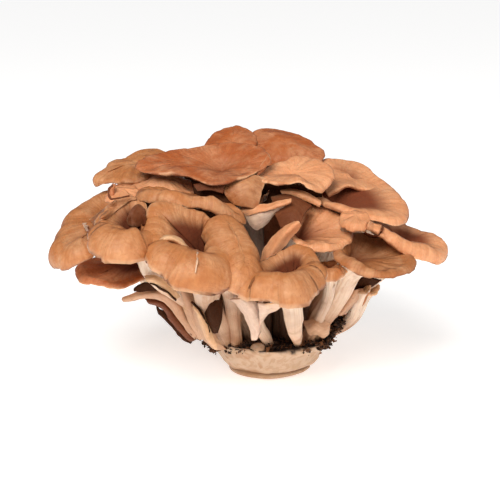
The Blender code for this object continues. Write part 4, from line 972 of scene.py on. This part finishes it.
def mycelium_material(name):
    """Felted white mycelium with beige and brown stains."""
    look = bpy.context.scene.maitake_colours
    material, tree, shader = start_material(name, 0.72, 0.15)
    veins = patch_mask(tree, 7.0, 0.42, 0.62, warp=2.2)
    stains = patch_mask(tree, 12.0, 0.52, 0.7, warp=1.0, shift=2.0)
    felt = patch_mask(tree, 1.6, 0.25, 0.75)
    height_up = add_node(tree, "ShaderNodeSeparateXYZ",
                         {0: add_node(tree, "ShaderNodeTexCoord").outputs["Object"]}).outputs["Z"]
    low = ranged(tree, height_up, 1.0 * MM, 9.0 * MM, 1.0, 0.0)
    base = mixed(tree, ranged(tree, veins, 0.0, 1.0, 0.78, 0.95), colour(look.flesh), colour(look.mycelium))
    base = mixed(tree, times(tree, low, 0.6), base, colour(look.mycelium))
    base = mixed(tree, times(tree, stains, 0.6), base, colour(look.stain))
    fold = add_node(tree, "ShaderNodeAttribute", attribute_name="fold").outputs["Fac"]
    base = mixed(tree, times(tree, fold, 0.8), base, colour(look.fold))
    soil = add_node(tree, "ShaderNodeAttribute", attribute_name="soil").outputs["Fac"]
    base = mixed(tree, soil, base, colour(look.crumb_dark))
    tree.links.new(base, shader.inputs["Base Color"])
    tree.links.new(ranged(tree, felt, 0.0, 1.0, 0.6, 0.82), shader.inputs["Roughness"])
    height = worked(tree, "ADD", times(tree, felt, 0.4), times(tree, veins, 0.6))
    bump = add_node(tree, "ShaderNodeBump", {"Strength": 0.6, "Distance": 0.5 * MM, "Height": height})
    tree.links.new(bump.outputs[0], shader.inputs["Normal"])
    return material


def crumb_material(name):
    """Damp growing medium: dark chips, some of them paler wood."""
    look = bpy.context.scene.maitake_colours
    material, tree, shader = start_material(name, 0.8, 0.0)
    shade = add_node(tree, "ShaderNodeAttribute", attribute_name="shade").outputs["Fac"]
    grit = patch_mask(tree, 0.9, 0.35, 0.65)
    base = mixed(tree, shade, colour(look.crumb_dark), colour(look.crumb_pale))
    base = mixed(tree, times(tree, grit, 0.35), base, colour(look.crumb_dark))
    tree.links.new(base, shader.inputs["Base Color"])
    tree.links.new(ranged(tree, grit, 0.0, 1.0, 0.65, 0.9), shader.inputs["Roughness"])
    bump = add_node(tree, "ShaderNodeBump", {"Strength": 0.6, "Distance": 0.3 * MM, "Height": grit})
    tree.links.new(bump.outputs[0], shader.inputs["Normal"])
    return material


MATERIAL_MAKERS = {"mycelium": mycelium_material, "crumbs": crumb_material}


def finish_material(finish):
    """The material of a finish, which is made the first time."""
    return bpy.data.materials.get(f"{finish}_skin") or MATERIAL_MAKERS.get(finish, frond_material)(finish)


# ---------------------------------------------------------------- base, crumbs, flakes

def base_skin():
    """Rows of points over the base, from the middle of its top to the middle of its cut face."""
    sweep = np.linspace(0, 2 * math.pi, BASE_SIDES, endpoint=False)
    around = np.stack([np.cos(sweep), np.sin(sweep), 0 * sweep], axis=1)
    rows, folds = [], []
    fine = profile_rows(BASE_PROFILE, BASE_ROWS)
    for radius, z, x, fold in fine:
        ragged = cloud(around, 0.45, 3) * ease((z - 9) / 6)
        lifted = FOOT_TILT * ease((8 - z) / 8) * (1 + np.cos(sweep - FOOT_TILT_TOWARDS)) / 2
        front = ease(-np.sin(sweep) * 1.4)
        lifted = lifted + FRONT_RISE * ease((z - 6) / 10) * ease((radius - 22) / 8) * front
        place = around * (radius + 0.6 * cloud(around * 1.3, 0.6, 5) * (radius > 3))[:, None]
        place[:, 0] -= RIGHT_DRAWN_IN * np.maximum(place[:, 0], 0) * ease((z - 5) / 10)
        place = place + np.stack([0 * sweep + x, 0 * sweep, z + ragged + lifted * (radius / 20)], axis=1)
        rows.append(place)
        folds.append(0 * sweep + fold)
    return np.array(rows), np.array(folds)


def profile_rows(profile, count):
    """count rows, evenly spaced along the smooth line through the profile's points."""
    profile = np.array(profile, float)
    run = np.concatenate([[0], np.cumsum(np.linalg.norm(np.diff(profile[:, :2], axis=0), axis=1))])
    wanted = np.linspace(0, run[-1], count)
    slopes = np.gradient(profile, run, axis=0)
    found = []
    for at in wanted:
        i = min(np.searchsorted(run, at, side="right") - 1, len(run) - 2)
        gap = run[i + 1] - run[i]
        t = (at - run[i]) / gap
        found.append(hermite(profile[i], slopes[i] * gap, profile[i + 1], slopes[i + 1] * gap, t))
    return found


def add_base():
    """The cup of mycelium, with its ragged rim, and the folded ring round its cut foot."""
    skin, fold = base_skin()
    down = unit(np.gradient(skin, axis=0))
    normal = unit(np.cross(down, np.roll(skin, -1, 1) - np.roll(skin, 1, 1)))
    wall = ease(skin[:, :, 2:] / 3)
    lump = 0.9 * cloud(skin, 9, 11) + 0.35 * cloud(skin, 3.2, 12) + 0.12 * cloud(skin, 1.2, 13)
    skin = skin + normal * lump[:, :, None] * wall
    skin[:, :, 2] = np.clip(skin[:, :, 2], 0, None)
    mesh, band, side = wrap_ball("base_of_mycelium", skin)
    keep_layer(mesh, "fold", fold[band, side])
    rim = np.argmax(skin[:, :, 0].max(1)) + SOIL_OVERLAP + 1.6 * cloud(skin, 6, 14) + cloud(skin, 2, 15)
    keep_layer(mesh, "soil", ease(rim - np.arange(BASE_ROWS)[:, None])[band, side])
    mesh.shade_smooth()
    add_piece("base_of_mycelium", mesh, "mycelium", ["mycelium_base"])


def add_knob():
    """A rounded knob of mycelium at the rim."""
    low, high = (np.array(corner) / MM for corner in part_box("mycelium_knob"))
    knob = bmesh.new()
    bmesh.ops.create_icosphere(knob, subdivisions=4, radius=1)
    places = np.array([vertex.co for vertex in knob.verts])
    middle, half = (low + high) / 2, (high - low) / 2 + KNOB_SPREAD
    lumps = 1 + 0.16 * cloud(places, 0.9, 21) + 0.05 * cloud(places, 0.3, 22)
    places = middle + places * half * lumps[:, None]
    for vertex, place in zip(knob.verts, places):
        vertex.co = place * MM
    mesh = bpy.data.meshes.new("knob_of_mycelium")
    knob.to_mesh(mesh)
    knob.free()
    mesh.shade_smooth()
    add_piece("knob_of_mycelium", mesh, "mycelium", ["mycelium_knob"])


def add_heap(name, seed, path, spread, count, length, replaced):
    """A heap of chips and grains, each a small faceted lump turned its own way."""
    draw = np.random.default_rng(seed)
    heap = bmesh.new()
    shades = []
    line = open_curve(path, 60)
    for _ in range(count):
        across = draw.normal(0, 0.5, 3)
        across /= max(1, np.linalg.norm(across) / 1.3)
        place = line[draw.integers(len(line))] + across * spread
        long = length * draw.uniform(0.4, 1.25)
        size = (long, long * draw.uniform(0.25, 0.6), long * draw.uniform(0.12, 0.4))
        turned = Euler(draw.uniform(-1, 1, 3) * (0.7, 0.7, math.pi)).to_matrix().to_4x4()
        shaped = Matrix.Diagonal((*(s * MM for s in size), 1))
        matrix = Matrix.Translation(Vector(place * MM)) @ turned @ shaped
        chip = bmesh.ops.create_icosphere(heap, subdivisions=1, radius=0.5, matrix=matrix)["verts"]
        shades += [draw.uniform(0, 1)**3] * len(chip)
        for vertex in chip:
            vertex.co += Vector(draw.uniform(-0.12, 0.12, 3) * long * MM)
            vertex.co.z = max(vertex.co.z, 0.2 * MM)
    mesh = bpy.data.meshes.new(name)
    heap.to_mesh(mesh)
    heap.free()
    keep_layer(mesh, "shade", np.array(shades))
    add_piece(name, mesh, "crumbs", replaced)


def open_curve(points, count):
    """count places, evenly spaced along the smooth open curve through points, which may be any rows."""
    points = np.asarray(points, float)
    if len(points) == 2:
        share = np.linspace(0, 1, count).reshape(-1, *[1] * (points.ndim - 1))
        return points[0] + (points[1] - points[0]) * share
    slopes = np.gradient(points, axis=0)
    places = []
    for at in np.linspace(0, len(points) - 1, count):
        i = min(int(at), len(points) - 2)
        t = at - i
        places.append(hermite(points[i], slopes[i], points[i + 1], slopes[i + 1], t))
    return np.array(places)


def add_flake(name, rails, finish, thickness=1.1, ragged=0.5, columns=44, rows=18, replaced=()):
    """A thin torn or folded sheet that runs smoothly through its rails, from one edge to the other."""
    seed = sum(map(ord, name)) % 991
    sheet = open_curve([open_curve(rail, columns) for rail in rails], rows)
    u, v = np.meshgrid(np.linspace(0, 1, columns), np.linspace(0, 1, rows))
    border = np.minimum(np.minimum(u, 1 - u) * columns, np.minimum(v, 1 - v) * rows)
    sheet = sheet + ragged * np.stack([cloud(sheet, 5, seed + k) for k in range(3)], axis=2)
    fray = np.exp(-border / 1.2)[:, :, None]
    torn = np.stack([cloud(sheet, 1.6, seed + 3 + k) for k in range(3)], axis=2)
    sheet = sheet + 0.5 * ragged * fray * torn
    along = np.cumsum(np.linalg.norm(np.diff(sheet, axis=1, prepend=sheet[:, :1]), axis=2), axis=1)
    across = np.cumsum(np.linalg.norm(np.diff(sheet, axis=0, prepend=sheet[:1]), axis=2), axis=0)

    grid = bmesh.new()
    bmesh.ops.create_grid(grid, x_segments=columns - 1, y_segments=rows - 1, size=1)
    mesh = bpy.data.meshes.new(name)
    grid.to_mesh(mesh)
    grid.free()
    at = np.empty(len(mesh.vertices) * 3)
    mesh.vertices.foreach_get("co", at)
    x, y, _ = at.reshape(-1, 3).T
    column = np.rint((x + 1) / 2 * (columns - 1)).astype(int)
    row = np.rint((y + 1) / 2 * (rows - 1)).astype(int)
    mesh.vertices.foreach_set("co", (sheet[row, column] * MM).ravel())
    keep_layer(mesh, "grain", np.stack([across / 10, 0 * across, along / 10], axis=2)[row, column])
    edge = np.exp(-border / 0.8)
    keep_layer(mesh, "zone", np.stack([1 + 0 * edge, edge, 0 * edge], axis=2)[row, column])
    keep_layer(mesh, "below", 0 * edge[row, column])
    mesh.shade_smooth()
    piece = add_piece(name, mesh, finish, replaced)
    wall = piece.modifiers.new("wall", "SOLIDIFY")
    wall.thickness = thickness * MM
    wall.offset = 0
    smooth = piece.modifiers.new("rounded_edges", "SUBSURF")
    smooth.levels = smooth.render_levels = 1


# ---------------------------------------------------------------- settings

def tone(name, description, value):
    return bpy.props.FloatVectorProperty(name=name, description=description, subtype="COLOR", default=value,
                                         min=0, max=1)


class MaitakeColours(bpy.types.PropertyGroup):
    amber_cap: tone("Amber caps", "Waxy skin of the fronds at the front", (0.53, 0.205, 0.068))
    brown_cap: tone("Brown caps", "Skin of the fronds at the top and back", (0.48, 0.123, 0.028))
    # Tan skin, raised in tone as painted light because the right softbox is weaker than the front one.
    tan_cap: tone("Tan caps", "Paler skin of the fronds on the right", (0.82, 0.37, 0.175))
    cup_brown: tone("Brown cup", "Dark skin of the open cup on the right and of aged leaves",
                    (0.46, 0.175, 0.06))
    # Painted shade: the near-black red-brown of sheets set in hollows, gaps and crevices.
    crevice_shade: tone("Deep throats", "Red-brown skin deep inside the funnels", (0.18, 0.052, 0.019))
    # Near-black old skin round the foot and along some edges, also used as painted shade: dark sheets in the
    # gaps between the fronds and under the caps.
    old_skin_and_shade: tone("Old skin", "Withered sheets between the fronds and round the foot",
                   (0.055, 0.019, 0.008))
    cream_leaf: tone("Young leaves", "Skin of the young leaves round the stems", (0.72, 0.44, 0.24))
    mauve_leaf: tone("Ageing leaves", "Dull skin of the larger leaves at the foot", (0.58, 0.33, 0.20))
    white_sheet: tone("White sheets", "Bare flesh of torn sheets", (0.78, 0.58, 0.46))
    rim: tone("Rims", "Thin flesh that shows along each rim", (0.84, 0.52, 0.30))
    flesh: tone("Flesh", "White of the stems and undersides", (0.88, 0.72, 0.58))
    # Painted shade: the beige in the grooves between the ribs of the stems.
    flesh_shade: tone("Flesh between ribs", "Beige between the ribs of the stems", (0.68, 0.44, 0.29))
    # Painted shade: the darker beige of the lower stems, which stand in the shadow of the caps.
    stem: tone("Lower stems", "Beige of the lower stems", (0.42, 0.21, 0.11))
    # Painted shade: the dark tone of the flesh between the stems and under the top caps.
    inner_flesh: tone("Inner flesh", "Browned flesh between the stems and under the top caps",
                      (0.085, 0.032, 0.015))
    stain: tone("Stains", "Brown stains on the white flesh", (0.42, 0.20, 0.09))
    mycelium: tone("Mycelium", "Beige felt of the base", (0.50, 0.31, 0.185))
    fold: tone("Folds", "Old skin in the folds of the foot", (0.26, 0.12, 0.05))
    crumb_dark: tone("Dark crumbs", "Damp growing medium", (0.018, 0.008, 0.005))
    crumb_pale: tone("Pale crumbs", "Chips of wood in the growing medium", (0.30, 0.12, 0.045))


class MaitakeStage(bpy.types.PropertyGroup):
    lens: bpy.props.FloatProperty(name="Lens", description="Focal length", default=100, unit="CAMERA")
    distance: bpy.props.FloatProperty(name="Distance", description="From the camera to its target",
                                      default=0.6944, unit="LENGTH")
    elevation: bpy.props.FloatProperty(name="Elevation", description="Angle of the camera above the floor",
                                       default=math.radians(15), subtype="ANGLE")
    target: bpy.props.FloatVectorProperty(name="Target", description="The point that the camera looks at",
                                          default=(-0.010, 0, 0.062), subtype="TRANSLATION", unit="LENGTH")
    key: bpy.props.FloatProperty(name="Key light", description="Power of the large front light",
                                 default=15.5, unit="POWER")
    sky: bpy.props.FloatProperty(name="Sky", description="Strength of the white surroundings", default=0.25)
    floor_glow: bpy.props.FloatProperty(name="Floor glow", default=0.68,
                                        description="Brightness added to the white floor")
    # Light that the floor itself gives off upwards, in place of light bounced back up.
    floor_bounce: bpy.props.FloatProperty(name="Floor bounce", default=0.7,
                                          description="Light that the floor throws back up")


# ---------------------------------------------------------------- operators

class MAITAKE_OT_base(bpy.types.Operator):
    """Make the base of mycelium and the knob on its rim"""
    bl_idname = "maitake.base"
    bl_label = "Base"

    def execute(self, context):
        add_base()
        add_knob()
        return {"FINISHED"}


class MAITAKE_OT_left_fronds(bpy.types.Operator):
    """Grow the fronds of the left side"""
    bl_idname = "maitake.left_fronds"
    bl_label = "Left fronds"

    def execute(self, context):
        add_fronds(LEFT_FRONDS)
        return {"FINISHED"}


class MAITAKE_OT_middle_fronds(bpy.types.Operator):
    """Grow the fronds of the middle"""
    bl_idname = "maitake.middle_fronds"
    bl_label = "Middle fronds"

    def execute(self, context):
        add_fronds(MIDDLE_FRONDS)
        return {"FINISHED"}


class MAITAKE_OT_right_fronds(bpy.types.Operator):
    """Grow the fronds of the right side"""
    bl_idname = "maitake.right_fronds"
    bl_label = "Right fronds"

    def execute(self, context):
        add_fronds(RIGHT_FRONDS)
        return {"FINISHED"}


class MAITAKE_OT_top_fronds(bpy.types.Operator):
    """Grow the fronds of the top tier"""
    bl_idname = "maitake.top_fronds"
    bl_label = "Top fronds"

    def execute(self, context):
        add_fronds(TOP_FRONDS)
        return {"FINISHED"}


class MAITAKE_OT_back_fronds(bpy.types.Operator):
    """Grow the fronds of the back and the low outer ones"""
    bl_idname = "maitake.back_fronds"
    bl_label = "Back fronds"

    def execute(self, context):
        add_fronds(BACK_FRONDS)
        return {"FINISHED"}


class MAITAKE_OT_young_leaves(bpy.types.Operator):
    """Grow the young leaves round the foot of the stems"""
    bl_idname = "maitake.young_leaves"
    bl_label = "Young leaves"

    def execute(self, context):
        add_fronds(YOUNG_LEAVES)
        return {"FINISHED"}


class MAITAKE_OT_flakes(bpy.types.Operator):
    """Add the torn and folded sheets"""
    bl_idname = "maitake.flakes"
    bl_label = "Torn sheets"

    def execute(self, context):
        for name, flake in FLAKES.items():
            add_flake(name, **flake)
        return {"FINISHED"}


class MAITAKE_OT_growing_medium(bpy.types.Operator):
    """Strew the growing medium between the stems"""
    bl_idname = "maitake.growing_medium"
    bl_label = "Growing medium"

    def execute(self, context):
        for seed, (name, heap) in enumerate(HEAPS.items()):
            add_heap(name, seed, **heap)
        return {"FINISHED"}


class MAITAKE_OT_stage(bpy.types.Operator):
    """Set up the floor, the soft lights and the camera"""
    bl_idname = "maitake.stage"
    bl_label = "Stage"

    def execute(self, context):
        stage = context.scene.maitake_stage
        add_floor(stage)
        add_lights(context.scene, stage)
        add_camera(context.scene, stage)
        return {"FINISHED"}


class MAITAKE_PT_panel(bpy.types.Panel):
    """Buttons and settings of the maitake cluster"""
    bl_idname = "MAITAKE_PT_panel"
    bl_label = "Maitake cluster"
    bl_space_type = "VIEW_3D"
    bl_region_type = "UI"
    bl_category = "Maitake"

    def draw(self, context):
        for kind in OPERATORS:
            self.layout.operator(kind.bl_idname)
        for group in (context.scene.maitake_colours, context.scene.maitake_stage):
            box = self.layout.box()
            for label in group.__annotations__:
                box.prop(group, label)


OPERATORS = (MAITAKE_OT_base, MAITAKE_OT_left_fronds, MAITAKE_OT_middle_fronds, MAITAKE_OT_right_fronds,
             MAITAKE_OT_top_fronds, MAITAKE_OT_back_fronds, MAITAKE_OT_young_leaves, MAITAKE_OT_flakes,
             MAITAKE_OT_growing_medium, MAITAKE_OT_stage)
CLASSES = (MaitakeColours, MaitakeStage, *OPERATORS, MAITAKE_PT_panel)


def add_floor(stage):
    """A wide pale floor with a faint gloss. It glows: the camera sees it bright, with painted shade round
    the middle where the cluster stands, and it gives off light upwards in place of light bounced onto the
    cluster.
    """
    disc = bmesh.new()
    bmesh.ops.create_circle(disc, cap_ends=True, segments=96, radius=FLOOR_RADIUS)
    mesh = bpy.data.meshes.new("floor")
    disc.to_mesh(mesh)
    disc.free()
    material, tree, shader = start_material("pale_floor", 0.12, 0)
    shader.inputs["Base Color"].default_value = (0.93, 0.925, 0.925, 1)
    seen = add_node(tree, "ShaderNodeLightPath").outputs["Is Camera Ray"]
    place = add_node(tree, "ShaderNodeTexCoord").outputs["Object"]
    out = add_node(tree, "ShaderNodeVectorMath", {0: place}, operation="LENGTH").outputs["Value"]
    # Painted shade: the glow that the camera sees is weaker round the middle.
    shown = times(tree, ranged(tree, out, 0.05, 0.3, 0.72, 1.0), stage.floor_glow)
    shown = add_node(tree, "ShaderNodeCombineColor", {0: shown, 1: shown, 2: shown}).outputs[0]
    # Light given off upwards onto the cluster, in place of bounced light.
    glow = mixed(tree, seen, colour([stage.floor_bounce] * 3), shown)
    tree.links.new(glow, shader.inputs["Emission Color"])
    shader.inputs["Emission Strength"].default_value = 1
    mesh.materials.append(material)
    floor = bpy.data.objects.new("floor", mesh)
    bpy.context.scene.collection.objects.link(floor)


def add_lights(scene, stage):
    """White surroundings, and large soft lights at the front and on the right."""
    scene.world = bpy.data.worlds.new("white_room")
    scene.world.use_nodes = True
    sky = scene.world.node_tree.nodes["Background"]
    sky.inputs["Color"].default_value = (1, 0.99, 0.98, 1)
    sky.inputs["Strength"].default_value = stage.sky
    for name, (place, width, share) in LIGHTS.items():
        lamp = bpy.data.lights.new(name, "AREA")
        lamp.shape = "SQUARE"
        lamp.size = width
        lamp.energy = stage.key * share
        lamp.color = (1, 0.97, 0.93)
        holder = bpy.data.objects.new(name, lamp)
        holder.location = place
        aim = Vector(stage.target) - Vector(place)
        holder.rotation_euler = aim.to_track_quat("-Z", "Y").to_euler()
        scene.collection.objects.link(holder)


def add_camera(scene, stage):
    """The camera looks straight along +Y, a little down."""
    lens = bpy.data.cameras.new("camera")
    lens.lens = stage.lens
    lens.sensor_width = 36
    lens.clip_start = 0.01
    camera = bpy.data.objects.new("camera", lens)
    back = Vector((0, -math.cos(stage.elevation), math.sin(stage.elevation)))
    camera.location = Vector(stage.target) + back * stage.distance
    camera.rotation_euler = (-back).to_track_quat("-Z", "Y").to_euler()
    scene.collection.objects.link(camera)
    scene.camera = camera
    scene.view_settings.view_transform = "Standard"


def register():
    for kind in CLASSES:
        bpy.utils.register_class(kind)
    bpy.types.Scene.maitake_colours = bpy.props.PointerProperty(type=MaitakeColours)
    bpy.types.Scene.maitake_stage = bpy.props.PointerProperty(type=MaitakeStage)


def unregister():
    del bpy.types.Scene.maitake_stage
    del bpy.types.Scene.maitake_colours
    for kind in reversed(CLASSES):
        bpy.utils.unregister_class(kind)


def main():
    register()
    for kind in OPERATORS:
        group, action = kind.bl_idname.split(".")
        getattr(getattr(bpy.ops, group), action)()
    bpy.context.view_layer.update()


if __name__ == "__main__":
    main()
